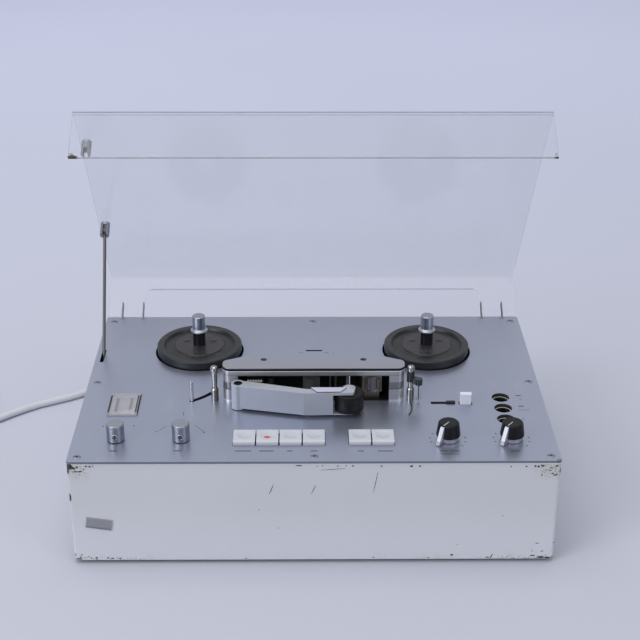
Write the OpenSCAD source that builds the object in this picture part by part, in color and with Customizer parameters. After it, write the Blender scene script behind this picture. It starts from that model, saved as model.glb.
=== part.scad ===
// Reel-to-reel tape recorder with a clear bent lid held open by a prop rod.
// Millimetres, +Z up. The origin lies on the table under the centre of the case.
// The front of the recorder faces -Y. The lid is drawn open, as in use.

/* [Case] */
// Width of the sheet-steel case
case_w = 420; // [410:1:432]
// Depth of the case
case_d = 278; // [272:1:290]
// Height of the case walls
case_h = 99; // [95:1:110]
// Thickness of the case sheet
case_wall = 1.5; // [1:0.1:2.5]
// Corner radius of the case
case_r = 3; // [2.6:0.2:6]
// Width of the turned-in flange under the deck
flange_w = 15; // [13:1:17]
// Width of the turned-in flange above the base cover
base_flange_w = 12; // [9:1:16]
// Thickness of the base cover
base_t = 1.5; // [1:0.1:2.5]
// Height of the rubber feet
foot_h = 4; // [3:0.5:8]
// Diameter of the rubber feet
foot_d = 24; // [16:1:32]
// Diameter of the case and deck screws
screw_d = 4; // [3:0.5:4.5]
// Height of a screw head above its plate
screw_head_h = 0.5; // [0.4:0.1:1.2]

/* [Deck] */
// Overhang of the deck beyond the case at the front and the rear
deck_lip = 1; // [0.5:0.25:2]
// Thickness of the deck plate
deck_t = 2; // [1.5:0.25:3]
// Thickness of the chassis plate below the deck
chassis_t = 2; // [1.5:0.25:3]
// Gap between the deck and the chassis plate
chassis_drop = 19; // [18:0.5:24]

/* [Lid] */
// Thickness of the clear lid sheet
lid_t = 2.5; // [2:0.25:4]
// Height of the lid above the deck, outside
lid_h = 52.5; // [50:0.5:60]
// Outer bend radius of the lid sheet
lid_r = 5; // [4.5:0.5:8]
// Angle at which the prop rod holds the lid open
lid_open = 55.4; // [50:0.1:58]
// Gap between the closed lid and the deck
lid_gap = 1.3; // [1.2:0.1:2]
// Width of the cut-out in the rear of the lid
lid_cut_w = 346; // [320:1:360]
// Height of that cut-out above the deck
lid_cut_h = 34; // [28:1:40]
// Diameter of the hinge pins
hinge_pin_d = 3; // [2:0.5:3]
// Diameter of the prop rod
rod_d = 3; // [2.5:0.25:3.5]
// Length of the prop rod below its pivot
rod_len = 132; // [128:1:136]
// Diameter of the forked studs on the lid
stud_d = 9; // [8:0.5:11]
// Length of the forked studs
stud_len = 14; // [13:0.5:16]

/* [Reels] */
// Distance between the two reel axes
reel_pitch = 221; // [216:1:226]
// Diameter of the reel tables
reel_table_d = 82; // [76:1:84]
// Height of the reel tables above the deck
reel_table_h = 8; // [7.5:0.5:11]
// Diameter of the spindle that carries the reel
spindle_d = 11; // [10.5:0.5:12]
// Diameter of the retaining cap
cap_d = 12.4; // [11:0.2:14]
// Height of the retaining cap's top above the deck
cap_top = 38; // [37:0.5:42]
// Diameter of the reel motors
reel_motor_d = 76; // [60:1:80]

/* [Tape drive] */
// Diameter of the capstan
capstan_d = 5; // [4:0.5:5.5]
// Diameter of the flywheel
flywheel_d = 80; // [70:1:84]
// Diameter of the motor pulley
pulley_d = 16; // [12:1:20]
// Diameter of the pressure roller
roller_d = 25.8; // [24:0.2:26]
// Height of the pressure roller
roller_h = 17.2; // [15:0.2:18]
// Thickness of the pressure arm's two flanges
arm_flange = 2.8; // [2:0.2:3.2]

/* [Head housing] */
// Width of the head housing
head_w = 165; // [162:1:168]
// Height of the head housing with its cover
head_h = 34.4; // [33:0.2:38]
// Thickness of the housing's cover
head_cover_t = 1.2; // [1:0.2:2.4]
// Wall of the head housing
head_wall = 2.2; // [1.8:0.2:3]
// Height of the guide posts
post_h = 35; // [34.5:0.5:38]

/* [Controls] */
// Width of a transport key
key_w = 19; // [17:0.25:19.25]
// Depth of a transport key
key_l = 20; // [18:0.5:21]
// Height of a key's edge above the deck
key_h = 4; // [3.6:0.2:6]
// Travel of a key
key_travel = 4; // [3:0.5:4]
// Diameter of the selector knobs
selector_d = 15.5; // [13:0.5:18]
// Height of the selector knobs
selector_h = 16.5; // [14:0.5:20]
// Diameter of the level knobs at the bottom
level_d = 21; // [19:0.5:23]
// Height of the level knobs
level_h = 16.8; // [15:0.2:20]
// Width of the meter window
meter_w = 27; // [24:0.5:28]
// Depth of the meter window
meter_l = 38.5; // [36:0.5:42]
// Diameter of the round signal sockets
socket_d = 16.2; // [15:0.1:16.6]

/* [Mains lead] */
// Diameter of the mains lead
cord_d = 7; // [6:0.25:7]
// Number of loops in the put-away coil
coil_loops = 6; // [4:1:6]

/* [Hidden] */
$fn = 64;
running = 0.05;
clear = 0.3;
slack = 0.5;
e = 1;

// Levels, measured up from the table
base_z = foot_h;
deck_z = foot_h + case_h;
top = deck_z + deck_t;
chassis_top = deck_z - chassis_drop;
chassis_z = chassis_top - chassis_t;

// Outline of the deck and the screws around it
deck_w = case_w;
deck_d = case_d + 2 * deck_lip;
rear = deck_d / 2;
screw_in = 8.3;
screw_in_rear = 11;
screw_hole = screw_d + slack;
screw_head_d = screw_d + 3.2;
deck_screws = [
  for (x = [-1, 0, 1]) [x * (deck_w / 2 - screw_in), -deck_d / 2 + screw_in],
  for (x = [-1, 1]) [x * (deck_w / 2 - screw_in), 0],
  for (x = [-1, 0, 1]) [x * (deck_w / 2 - screw_in), rear - screw_in_rear]
];
base_screw_in = 7;
base_screws = [for (x = [-1, 1], y = [-1, 1])
  [x * (case_w / 2 - base_screw_in), y * (case_d / 2 - base_screw_in)]];
feet_at = [for (x = [-1, 1], y = [-1, 1]) [x * (case_w / 2 - 33), y * (case_d / 2 - 28)]];

// Lid hinge: blades on the lid turn on pins just under the deck's rear edge
pivot_in = 1.5;
pivot_down = 4;
pivot_y = rear - pivot_in;
pivot_z = top - pivot_down;
hinge_in = 25.3;
hinge_x = deck_w / 2 - hinge_in;
blade_half = 10.6;
blade_t = 1;
blade_w = 6.4;
blade_up = 17;
block_half = blade_half - blade_t / 2 - slack;
block_d = 10;
block_h = 9;
block_back = 1.2;
lid_len = deck_d - 2;
lid_slit_gap = 0.7;

// Prop rod: pivots in the front fork's twin on the lid, slides through a slot in the deck
rod_x = -(deck_w / 2 - 6.5);
stud_y = rear - 101;
clip_y = rear - 234;
rod_pin_d = 2.4;
rod_pin_z = top + lid_h - lid_t - stud_len + 5;
slot_front = rear - 99;
slot_rear = rear - 73;
slot_entry = rear - 79.5;
slot_w = rod_d + 0.8;
function swing(y, z, a) = [
  (y - pivot_y) * cos(a) + (z - pivot_z) * sin(a) + pivot_y,
  -(y - pivot_y) * sin(a) + (z - pivot_z) * cos(a) + pivot_z];
rod_at = swing(stud_y, rod_pin_z, lid_open);
rod_lean = atan2(rod_at[0] - slot_entry, rod_at[1] - top);

// Reels
reel_x = reel_pitch / 2;
reel_y = 65;
reel_well_d = reel_table_d + 3.6;
reel_shaft_d = 8;
pin_d = 7.8;
pin_h = 9;
shoulder = 21.8;
reel_clear_r = 91;

// Tape drive, seen from above
capstan_at = [head_w / 2 - 51, -29.5];
motor_at = [-42, 20];
capstan_up = 25;
flywheel_z = chassis_z - 38;
flywheel_h = 14;
motor_h = 22;
bearing_d = 18;
belt_t = 1;

// Pressure arm, drawn swung away from the capstan
arm_pivot = [-head_w / 2 + 14.5, -47.7];
roller_at = [capstan_at[0], -56.5];
arm_bottom = 0.8;
arm_lift = 1.8;
roller_gap = 0.8;
arm_top = arm_bottom + 2 * arm_flange + 2 * roller_gap + roller_h;
boss_d = 12.4;
arm_hole_d = 7.6;
axle_d = 4;

// Head housing
head_front = -37;
head_back = 6;
head_corner = 7;
column_w = 14;
column_l = 15;
head_turn = 6;
turn_at = [head_w / 2 - head_turn, reel_y - sqrt(pow(reel_clear_r + head_turn, 2)
  - pow(reel_x - head_w / 2 + head_turn, 2))];
lintel_h = 5.3;
shadow_gap = 1.3;
shadow_in = 1.5;
groove_z = 12.5;
groove_h = 7.3;
groove_in = 1.6;
cover_screw_at = [head_w / 2 - 37.1, -19.8];
outer_head_x = head_w / 2 - 29.5;
post_at = [head_w / 2 + 5.6, -33.2];
left_post_at = [-head_w / 2 - 7.5, -33.2];
post_neck_d = 6;
post_base_d = 6.8;
post_base_h = 11.4;
post_head_d = 7;
collar_z = 19.3;
collar_h = 9.5;
collar_d = 7.2;
collar_neck_d = 4.6;
switch_reach = 8.5;

// Tape feeler: a pin on an arm under the deck, in a curved slot
feeler_pivot = [-head_w / 2 - 59.8, 17];
feeler_r = 61;
feeler_rest = -59;
feeler_sweep = 22;
feeler_pin_d = 3.2;
feeler_stud_d = 6;
feeler_z = chassis_top + 4;

// Keys and levers
key_y = -103.6;
key_pitch = 20.1;
key_x = [-60.6, -60.6 + key_pitch, -60.6 + 2 * key_pitch, -60.6 + 3 * key_pitch,
  39.6, 39.6 + key_pitch];
key_stem = 8;
key_skirt = key_travel + 6;
key_round = 2.2;
scoop_y = 2.4;
scoop_reach = 7;
scoop_depth = 0.9;
scoop_r = (scoop_reach * scoop_reach + scoop_depth * scoop_depth) / 2 / scoop_depth;
key_frame_z = deck_z - 26;
key_frame_t = 6;
key_frame_half = 78;
socket_x = deck_w / 2 - 38.6;
pause_at = [socket_x - 33.4, -41];
pause_w = 10.4;
pause_l = 5;
pause_h = 10.5;
pause_foot = 2;
lever_slot = [pause_at[0] - 31.5, pause_at[0] - 9];
lever_end = 0.4;
lever_at = [lever_slot[1] - lever_end - 4, -39.8];
lever_slot_w = 4.4;
lever_w = 8;
lever_t = 3;
lever_h = 1.6;

// Rotary controls and sockets
knob_y = -103;
knob_in = 38;
selector_x = [-deck_w / 2 + knob_in, -115.5];
level_x = [116.5, deck_w / 2 - knob_in];
knob_lift = 0.5;
shaft_d = 6;
control_d = 24;
control_h = 20;
pointer_angle = 231.5;
socket_pitch = 19.6;
socket_at = [for (i = [0 : 2]) [socket_x, -30.1 - i * socket_pitch]];
socket_depth = 9;
socket_wall = 1.3;
meter_at = [-deck_w / 2 + 38.3, -42.7];
meter_wall = 2;
meter_depth = 26;
meter_box_w = meter_w + 2 * clear + 2 * meter_wall;
meter_box_l = meter_l + 2 * clear + 2 * meter_wall;
meter_ledge = 1.6;
meter_rise = 1.5;
scale_down = 12;
needle_len = 24;
needle_rest = 24;

// Mains lead: hand-chosen points on the table behind and left of the case
relief_at = [-140, 18];
relief_len = 28;
relief_d = 13;
relief_end = case_d / 2 + relief_len;
cord_sides = 8;
cord_floor = cord_d / 2 * cos(180 / cord_sides);
lead_points = [
  [-140, 178, 18], [-141, 190, 16], [-146, 203, 12], [-156, 213, 8], [-170, 217, 5],
  [-184, 214, cord_floor], [-197, 206, cord_floor], [-212, 193, cord_floor],
  [-229, 177, cord_floor], [-247, 161, cord_floor], [-267, 149, cord_floor],
  [-288, 138, cord_floor], [-307, 124, cord_floor], [-324, 109, cord_floor],
  [-341, 94, cord_floor]];
lead_smooth = 2;
coil_sides = 6;
coil_rings = 24;
coil_floor = cord_d / 2 * cos(180 / coil_sides);
coil_r = 51;
coil_pitch = cord_d + 0.7;
layer_h = cord_d + 0.6;
coil_at = [-400, 108];
coil_entry = -45;
lead_in = cord_d;
tail_len = 48;
plug_w = 30;
plug_neck = 12;
plug_l = 30;
plug_pin_d = 4;
plug_pin_gap = 19;
plug_pin_l = 19;

// Shared shapes

// Rectangle with round corners
module round_rect(w, d, r) {
  square([w - 2 * r, d], center = true);
  square([w, d - 2 * r], center = true);
  for (x = [-1, 1], y = [-1, 1])
    translate([x * (w / 2 - r), y * (d / 2 - r)]) circle(r);
}

// Block with upright round edges, standing on z
module round_block(w, d, h, r, z) {
  translate([0, 0, z]) linear_extrude(h) round_rect(w, d, r);
}

// Drilled hole or pin from z upwards
module rod(at, d, z, h) {
  translate([at[0], at[1], z]) cylinder(d = d, h = h);
}

// Box between two corners
module span(a, b) {
  translate(a) cube(b - a);
}

// A place on the closed lid, swung open about the hinge
module on_lid() {
  translate([0, pivot_y, pivot_z]) rotate([-lid_open, 0, 0]) translate([0, -pivot_y, -pivot_z])
    children();
}

// Both hinges, as mirror images
module each_hinge() {
  for (side = [-1, 1]) translate([side * hinge_x, 0, 0]) children();
}

// Case

// Sheet box with flanges turned in at the top and the bottom
module case_shell() color("whitesmoke") difference() {
  inner_r = case_r - case_wall;
  round_block(case_w, case_d, case_h, case_r, base_z);
  round_block(case_w - 2 * case_wall, case_d - 2 * case_wall,
    case_h - base_t - 2 * case_wall, inner_r, base_z + base_t + case_wall);
  round_block(case_w - 2 * case_wall, case_d - 2 * case_wall, base_t + e, inner_r, base_z - e);
  translate([0, 0, deck_z - case_wall - e]) linear_extrude(case_wall + 2 * e)
    square([case_w - 2 * flange_w, case_d - 2 * flange_w], center = true);
  translate([0, 0, base_z + base_t - e]) linear_extrude(case_wall + 2 * e)
    square([case_w - 2 * base_flange_w, case_d - 2 * base_flange_w], center = true);
  for (p = deck_screws) rod(p, screw_hole, deck_z - case_wall - e, case_wall + 2 * e);
  for (p = base_screws) rod(p, screw_hole, base_z + base_t - e, case_wall + 2 * e);
  each_hinge() span(
    [-blade_half - blade_t - slack, rear - block_d - slack, deck_z - block_h - slack],
    [blade_half + blade_t + slack, rear + block_back + e, deck_z + e]);
  span([rod_x - slot_w, slot_front - 8, deck_z - case_wall - e],
    [rod_x + slot_w + flange_w, slot_rear + 8, deck_z + e]);
  translate([relief_at[0], 0, relief_at[1]]) rotate([-90, 0, 0])
    cylinder(d = relief_d - 2, h = case_d);
}

// Bottom sheet with two rows of cooling slots
module base_cover() color("lightgray") difference() {
  round_block(case_w - 2 * case_wall - clear, case_d - 2 * case_wall - clear, base_t,
    case_r - case_wall, base_z);
  for (p = base_screws) rod(p, screw_hole, base_z - e, base_t + 2 * e);
  for (x = [-80 : 16 : 80], y = [-40, 40]) translate([x, y, base_z - e])
    linear_extrude(base_t + 2 * e) round_rect(5, 50, 2.4);
}

// Four rubber feet
module feet() color("dimgray") for (p = feet_at) translate([p[0], p[1], 0])
  rotate_extrude() polygon([[0, 0], [foot_d / 2 - 1, 0], [foot_d / 2, 1],
    [foot_d / 2, foot_h], [0, foot_h]]);

// One raised countersunk screw, head up, with its slot
module screw(len) {
  difference() {
    rotate_extrude() polygon([[0, -len], [screw_d / 2, -len], [screw_d / 2, 0],
      [screw_head_d / 2, 0], [screw_head_d / 2 - 0.5, screw_head_h], [0, screw_head_h]]);
    translate([-screw_head_d, -0.5, screw_head_h / 2]) cube([2 * screw_head_d, 1, screw_head_h]);
  }
}

// Deck screws and base screws
module case_screws() color("silver") {
  for (p = deck_screws) translate([p[0], p[1], top]) screw(deck_t + case_wall);
  for (p = base_screws) translate([p[0], p[1], base_z]) rotate([180, 0, 0])
    screw(base_t + case_wall);
}

// Curved slot of the tape feeler, as an outline
module feeler_slot() {
  w = feeler_pin_d + 1;
  translate(feeler_pivot) {
    intersection() {
      difference() {
        circle(feeler_r + w / 2);
        circle(feeler_r - w / 2);
      }
      polygon([[0, 0],
        [2 * feeler_r * cos(feeler_rest), 2 * feeler_r * sin(feeler_rest)],
        [2 * feeler_r * cos(feeler_rest + feeler_sweep), 2 * feeler_r * sin(feeler_rest + feeler_sweep)]]);
    }
    for (a = [feeler_rest, feeler_rest + feeler_sweep])
      translate(feeler_r * [cos(a), sin(a)]) circle(d = w + 0.4);
  }
}

// Opening for a row of keys, from the first key to the last
module key_slot(first, last) {
  translate([(key_x[first] + key_x[last]) / 2, key_y])
    square([key_x[last] - key_x[first] + key_w + 2 * slack, key_l + 2 * slack], center = true);
}

// Deck plate with the holes for everything that passes through it
module deck_plate() color("slategray") translate([0, 0, deck_z]) linear_extrude(deck_t) difference() {
  round_rect(deck_w, deck_d, case_r);
  for (p = deck_screws) translate(p) circle(d = screw_hole);
  for (side = [-1, 1]) translate([side * reel_x, reel_y]) circle(d = reel_well_d);
  for (side = [-1, 1], edge = [-1, 1])
    translate([side * hinge_x + edge * blade_half, rear])
      square([blade_t + 2 * slack, 2 * (pivot_in + blade_w / 2 + slack)], center = true);
  translate([rod_x, (slot_front + slot_rear) / 2])
    round_rect(slot_w, slot_rear - slot_front, slot_w / 2 - 0.1);
  feeler_slot();
  translate(capstan_at) circle(d = bearing_d + 2);
  translate(arm_pivot) circle(d = arm_hole_d);
  for (p = [left_post_at, post_at]) translate(p) circle(d = post_neck_d + slack);
  key_slot(0, 3);
  key_slot(4, 5);
  translate(pause_at) square([pause_w + 2, pause_l + 2], center = true);
  translate([(lever_slot[0] + lever_slot[1]) / 2, lever_at[1]])
    round_rect(lever_slot[1] - lever_slot[0], lever_slot_w, lever_slot_w / 2 - 0.8);
  for (x = concat(selector_x, level_x)) translate([x, knob_y]) circle(d = shaft_d + 2);
  translate(meter_at) square([meter_w + 2 * clear, meter_l + 2 * clear], center = true);
  for (p = socket_at) translate(p) circle(d = socket_d);
}

// Chassis plate with spacers up to the deck and the feeler's stud
chassis_posts = [[-148, 112], [0, 112], [148, 112], [-148, -12], [148, -12], [-48, -74], [78, -74]];
module chassis() color("darkgray") difference() {
  union() {
    translate([0, 20, chassis_z]) linear_extrude(chassis_t) round_rect(306, 204, 6);
    for (p = chassis_posts) rod(p, 8, chassis_top, chassis_drop);
    rod(feeler_pivot, feeler_stud_d, chassis_top, 12);
  }
  for (side = [-1, 1]) rod([side * reel_x, reel_y], 28, chassis_z - e, chassis_t + 2 * e);
  rod(capstan_at, bearing_d + 2 * running, chassis_z - e, chassis_t + 2 * e);
  rod(motor_at, 14, chassis_z - e, chassis_t + 2 * e);
  translate([meter_at[0], meter_at[1], chassis_z - e]) linear_extrude(chassis_t + 2 * e)
    square([meter_box_w + 4, meter_box_l + 4], center = true);
}

// Lid

// Side outline of the bent sheet: length along Y, height along Z, bends at the top
module lid_outline(l, h, r) {
  square([l, h - r]);
  translate([r, 0]) square([l - 2 * r, h]);
  for (x = [r, l - r]) translate([x, h - r]) circle(r);
}

// Clear sheet bent down at the front and the rear, with the rear cut-out and hinge slits
module lid_sheet() color("lightcyan", 0.4) on_lid() difference() {
  translate([-deck_w / 2, rear - lid_len, top + lid_slit_gap]) rotate([90, 0, 90])
    linear_extrude(deck_w) difference() {
      lid_outline(lid_len, lid_h - lid_slit_gap, lid_r);
      translate([lid_t, -e]) lid_outline(lid_len - 2 * lid_t, lid_h - lid_slit_gap - lid_t + e, lid_r - lid_t);
      translate([-e, -e]) square([lid_len / 2, e + lid_gap - lid_slit_gap]);
    }
  translate([0, rear - 3 * lid_t, top]) rotate([-90, 0, 0]) linear_extrude(6 * lid_t)
    round_rect(lid_cut_w, 2 * lid_cut_h, 8);
  each_hinge() for (edge = [-1, 1]) translate([edge * blade_half - blade_t / 2, rear - 3 * lid_t, top])
    cube([blade_t, 6 * lid_t, blade_up]);
}

// Four steel blades that stand in the slits of the sheet and turn on the pins
module hinge_blades() color("gray") on_lid() each_hinge() for (edge = [-1, 1])
  translate([edge * blade_half - blade_t / 2, 0, 0]) difference() {
    union() {
      translate([0, pivot_y, pivot_z]) rotate([0, 90, 0]) cylinder(d = blade_w, h = blade_t);
      span([0, pivot_y - blade_w / 2, pivot_z], [blade_t, pivot_y + blade_w / 2, top + blade_up]);
    }
    translate([-e, pivot_y, pivot_z]) rotate([0, 90, 0])
      cylinder(d = hinge_pin_d + 2 * running, h = blade_t + 2 * e);
  }

// Two pins, each held in its block
module hinge_pins() color("silver") each_hinge()
  translate([-blade_half - blade_t - slack / 2, pivot_y, pivot_z]) rotate([0, 90, 0])
    cylinder(d = hinge_pin_d, h = 2 * blade_half + 2 * blade_t + slack);

// Two blocks under the deck's rear edge
module hinge_blocks() color("dimgray") each_hinge() difference() {
  span([-block_half, rear - block_d, deck_z - block_h], [block_half, rear + block_back, deck_z]);
  translate([-block_half - e, pivot_y, pivot_z]) rotate([0, 90, 0])
    cylinder(d = hinge_pin_d, h = 2 * block_half + 2 * e);
}

// Forked stud hanging from the lid's top, its fork open at the free end
module lid_stud(y) {
  roof = top + lid_h - lid_t;
  translate([rod_x, y, roof - stud_len]) difference() {
    cylinder(d = stud_d, h = stud_len);
    span([-rod_d / 2 - clear, -stud_d, -e], [rod_d / 2 + clear, stud_d, stud_len - 3]);
    translate([-stud_d, 0, rod_pin_z - roof + stud_len]) rotate([0, 90, 0])
      cylinder(d = rod_pin_d + 2 * running, h = 2 * stud_d);
  }
}

// The prop's stud and the clip near the front
module lid_studs() color("silver") on_lid() {
  lid_stud(stud_y);
  lid_stud(clip_y);
}

// Prop rod with its cross pin, leaning forward through the deck's slot
module prop_rod() color("gainsboro") translate([rod_x, rod_at[0], rod_at[1]]) {
  rotate([-rod_lean, 0, 0]) {
    translate([0, 0, -rod_len]) cylinder(d = rod_d, h = rod_len);
    rotate([0, 90, 0]) translate([0, 0, -rod_d / 2]) cylinder(d = rod_d + 2, h = rod_d);
  }
  rotate([0, 90, 0]) translate([0, 0, -stud_d / 2]) cylinder(d = rod_pin_d, h = stud_d);
}

// Reels

// Table, spindle with three keys, brake drum and shaft, turned about the reel axis
module reel_table(x) color("#26282c") translate([x, reel_y, top]) {
  r = reel_table_d / 2;
  h = reel_table_h;
  drum_z = -deck_t - 1;
  hub_z = chassis_top - top + clear;
  rotate_extrude($fn = 96) polygon([
    [0, shoulder + pin_h], [pin_d / 2, shoulder + pin_h], [pin_d / 2, shoulder], [spindle_d / 2, shoulder],
    [spindle_d / 2, h - 0.8], [23.5, h - 0.8], [24.5, h - 1.8], [r - 8, h - 2.2], [r - 6.6, h],
    [r - 1, h], [r, h - 1], [r, 0], [r - 2, drum_z], [30, drum_z], [30, drum_z - 10],
    [10, drum_z - 10], [10, hub_z], [reel_shaft_d / 2, hub_z],
    [reel_shaft_d / 2, hub_z - 44], [0, hub_z - 44]]);
  for (a = [90, 210, 330]) rotate([0, 0, a]) span([0, -0.9, h - 1], [spindle_d / 2 + 0.8, 0.9, shoulder]);
}
module left_reel_table() reel_table(-reel_x);
module right_reel_table() reel_table(reel_x);

// Retaining cap that pulls off the spindle's pin
module reel_cap(x) color("silver") translate([x, reel_y, top]) rotate_extrude() {
  z = shoulder + running;
  bore = pin_d / 2 + running;
  polygon([[bore, z], [cap_d / 2 + 2, z], [cap_d / 2 + 2, z + 1], [cap_d / 2, z + 3],
    [cap_d / 2, cap_top - 0.6], [cap_d / 2 - 0.6, cap_top], [0, cap_top],
    [0, shoulder + pin_h + clear], [bore, shoulder + pin_h + clear]]);
}
module left_cap() reel_cap(-reel_x);
module right_cap() reel_cap(reel_x);

// Two reel motors under the chassis, each with the bore that carries a reel shaft
module reel_motors() color("dimgray") for (side = [-1, 1]) difference() {
  union() {
    rod([side * reel_x, reel_y], reel_motor_d, chassis_z - 44, 44);
    rod([side * reel_x, reel_y], 24, chassis_z, chassis_t);
  }
  rod([side * reel_x, reel_y], reel_shaft_d + 2 * running, chassis_z - 44 - e, 60);
}

// Tape drive

// Capstan shaft from the flywheel up to the tape
module capstan() color("silver")
  rod(capstan_at, capstan_d, flywheel_z - 4, top + capstan_up - flywheel_z + 4);

// Flywheel with a thick rim
module flywheel() color("rosybrown") translate([capstan_at[0], capstan_at[1], flywheel_z])
  rotate_extrude() polygon([[capstan_d / 2, 0], [flywheel_d / 2, 0], [flywheel_d / 2, flywheel_h],
    [flywheel_d / 2 - 10, flywheel_h], [flywheel_d / 2 - 12, 6], [12, 6], [10, flywheel_h],
    [capstan_d / 2, flywheel_h]]);

// Long sleeve that carries the capstan, flanged on the chassis
module capstan_bearing() color("goldenrod") translate([capstan_at[0], capstan_at[1], 0]) difference() {
  union() {
    translate([0, 0, chassis_z - 18]) cylinder(d = bearing_d, h = top + 3 - chassis_z + 18);
    translate([0, 0, chassis_top]) cylinder(d = bearing_d + 10, h = 3);
  }
  translate([0, 0, chassis_z - 19]) cylinder(d = capstan_d + 2 * running, h = chassis_drop + deck_t + 40);
}

// Motor hung under the chassis with its shaft pointing down
module capstan_motor() color("slategray") difference() {
  rod(motor_at, 56, chassis_z - motor_h, motor_h);
  rod(motor_at, 4 + 2 * running, chassis_z - motor_h - e, motor_h + 2 * e);
}

// Motor shaft and its flanged pulley
module motor_pulley() color("goldenrod") translate([motor_at[0], motor_at[1], flywheel_z])
  rotate_extrude() polygon([[0, -1], [2, -1], [2, 0], [pulley_d / 2 + 1.6, 0], [pulley_d / 2 + 1.6, 1],
    [pulley_d / 2, 1.4], [pulley_d / 2, flywheel_h - 1.4], [pulley_d / 2 + 1.6, flywheel_h - 1],
    [pulley_d / 2 + 1.6, flywheel_h], [2, flywheel_h], [2, chassis_z - flywheel_z - 2],
    [0, chassis_z - flywheel_z - 2]]);

// Outline round the flywheel and the pulley at a distance g from both, in steps of a few degrees
function arc(at, r, from, to, n) = [for (i = [0 : n]) let (a = from + (to - from) * i / n) at + r * [cos(a), sin(a)]];
module belt_outline(g) {
  d = capstan_at - motor_at;
  way = atan2(d[1], d[0]);
  lean = asin((flywheel_d - pulley_d) / 2 / norm(d));
  polygon(concat(
    arc(capstan_at, flywheel_d / 2 + g, way - 90 - lean, way + 90 + lean, 56),
    arc(motor_at, pulley_d / 2 + g, way + 90 + lean, way + 270 - lean, 24)));
}

// Flat belt from the motor to the flywheel
module drive_belt() color("black") translate([0, 0, flywheel_z + 3]) linear_extrude(flywheel_h - 6)
  difference() {
    belt_outline(clear + belt_t);
    belt_outline(clear);
  }

// Heads and guides

// Plan of the head housing, drawn in by g on all sides; it keeps clear of the reels and is round at every corner
module head_plan(g) {
  r = head_corner - g;
  half = head_w / 2 - g;
  turn_x = turn_at[0] + (head_turn - g) * (reel_x - turn_at[0]) / (reel_clear_r + head_turn) - slack;
  difference() {
    union() {
      translate([-half, head_front + head_corner]) square([2 * half, turn_at[1] - head_front - head_corner]);
      translate([-half + r, head_front + g]) square([2 * half - 2 * r, head_corner]);
      translate([-turn_x, turn_at[1] - e]) square([2 * turn_x, head_back - g - turn_at[1] + e]);
      for (side = [-1, 1]) translate([side * (half - r), head_front + head_corner]) circle(r);
    }
    for (side = [-1, 1]) translate([side * reel_x, reel_y]) circle(reel_clear_r + g, $fn = 128);
  }
  for (side = [-1, 1]) translate([side * turn_at[0], turn_at[1]]) circle(head_turn - g);
}

// Housing: wall, two front columns with the tape groove, open front under a lintel
module head_housing() color("silver") translate([0, 0, top]) difference() {
  body_h = head_h - head_cover_t - shadow_gap;
  union() {
    linear_extrude(body_h) difference() {
      head_plan(0);
      head_plan(head_wall);
    }
    linear_extrude(body_h) intersection() {
      head_plan(0);
      for (side = [-1, 1]) translate([side * (head_w / 2 - column_w / 2), head_front + column_l / 2])
        square([column_w, column_l], center = true);
    }
  }
  span([-head_w / 2 + column_w, head_front - e, -e],
    [head_w / 2 - column_w, head_front + column_l, body_h - lintel_h]);
  for (side = [-1, 1]) translate([0, 0, groove_z]) linear_extrude(groove_h) difference() {
    translate([side * (head_w / 2 - column_w / 2), head_front + 5]) square([column_w + 2, 12], center = true);
    head_plan(groove_in);
  }
}

// Cover plate on a set-back step, with a slot and two screw holes
module head_cover() color("lightgray") translate([0, 0, top + head_h - head_cover_t]) difference() {
  union() {
    linear_extrude(head_cover_t) head_plan(0);
    translate([0, 0, -shadow_gap]) linear_extrude(shadow_gap) head_plan(shadow_in);
  }
  for (side = [-1, 1]) rod([side * cover_screw_at[0], cover_screw_at[1]], 5.6, -shadow_gap - e, 9);
  translate([0.4, -2.2, head_cover_t - 0.8]) linear_extrude(2) round_rect(15, 1.4, 0.6);
}

// Two black screws, sunk in the cover, on tubes that stand on the deck
module cover_screws() color("#202020") for (side = [-1, 1])
  translate([side * cover_screw_at[0], cover_screw_at[1], top]) difference() {
    union() {
      cylinder(d = 7, h = head_h - head_cover_t - shadow_gap);
      cylinder(d = 5, h = head_h - 0.7);
    }
    translate([-3, -0.4, head_h - 1.4]) cube([6, 0.8, 2]);
  }

// One head: a shield can on a foot, with a rounded nose towards the tape
module tape_head(x, w, d, z, h, nose) translate([x, head_front + 2.5, top]) difference() {
  union() {
    translate([-w / 2, nose, z]) cube([w, d - nose, h]);
    translate([-w / 2 + 2, nose + 2, 0]) cube([w - 4, d - nose - 4, z + 1]);
    intersection() {
      translate([0, 3 * nose, z + 1]) cylinder(r = 3 * nose, h = h - 2);
      translate([-w / 2 + 2, 0, z]) cube([w - 4, 2 * nose, h]);
    }
  }
}
module erase_head() color("ivory") tape_head(-outer_head_x, 15, 10, 11, 9, 2);
module record_head() color("gainsboro") tape_head(-2, 15.5, 15, 9, 14, 3);
module play_head() color("gainsboro") tape_head(outer_head_x, 18, 10.5, 7.5, 17, 3);

// Turned guide post on a thick foot, with a slotted head
module guide_post(neck, turn) difference() {
  rotate_extrude() polygon([[0, -deck_t - 4], [post_neck_d / 2, -deck_t - 4], [post_neck_d / 2, 0],
    [post_base_d / 2, 0], [post_base_d / 2, post_base_h], [2.7, post_base_h + 1], [2.3, post_base_h + 3],
    each neck ? [[2.3, collar_z - 1.6 - clear], [2.9, collar_z - 1 - clear], [2.9, collar_z - clear],
      [collar_neck_d / 2, collar_z - clear], [collar_neck_d / 2, collar_z + collar_h + clear]]
      : [[2.5, post_h - 15], [2.8, post_h - 6]],
    [post_head_d / 2 - 0.3, post_h - 5.2], [post_head_d / 2, post_h - 4.4], [post_head_d / 2, post_h - 2.4],
    [post_head_d / 2 - 0.5, post_h - 1], [post_head_d / 2 - 1.6, post_h - 0.1], [0, post_h]]);
  rotate([0, 0, turn]) translate([-0.5, -6, post_h - 1.6]) cube([1, 12, 3]);
}

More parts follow.
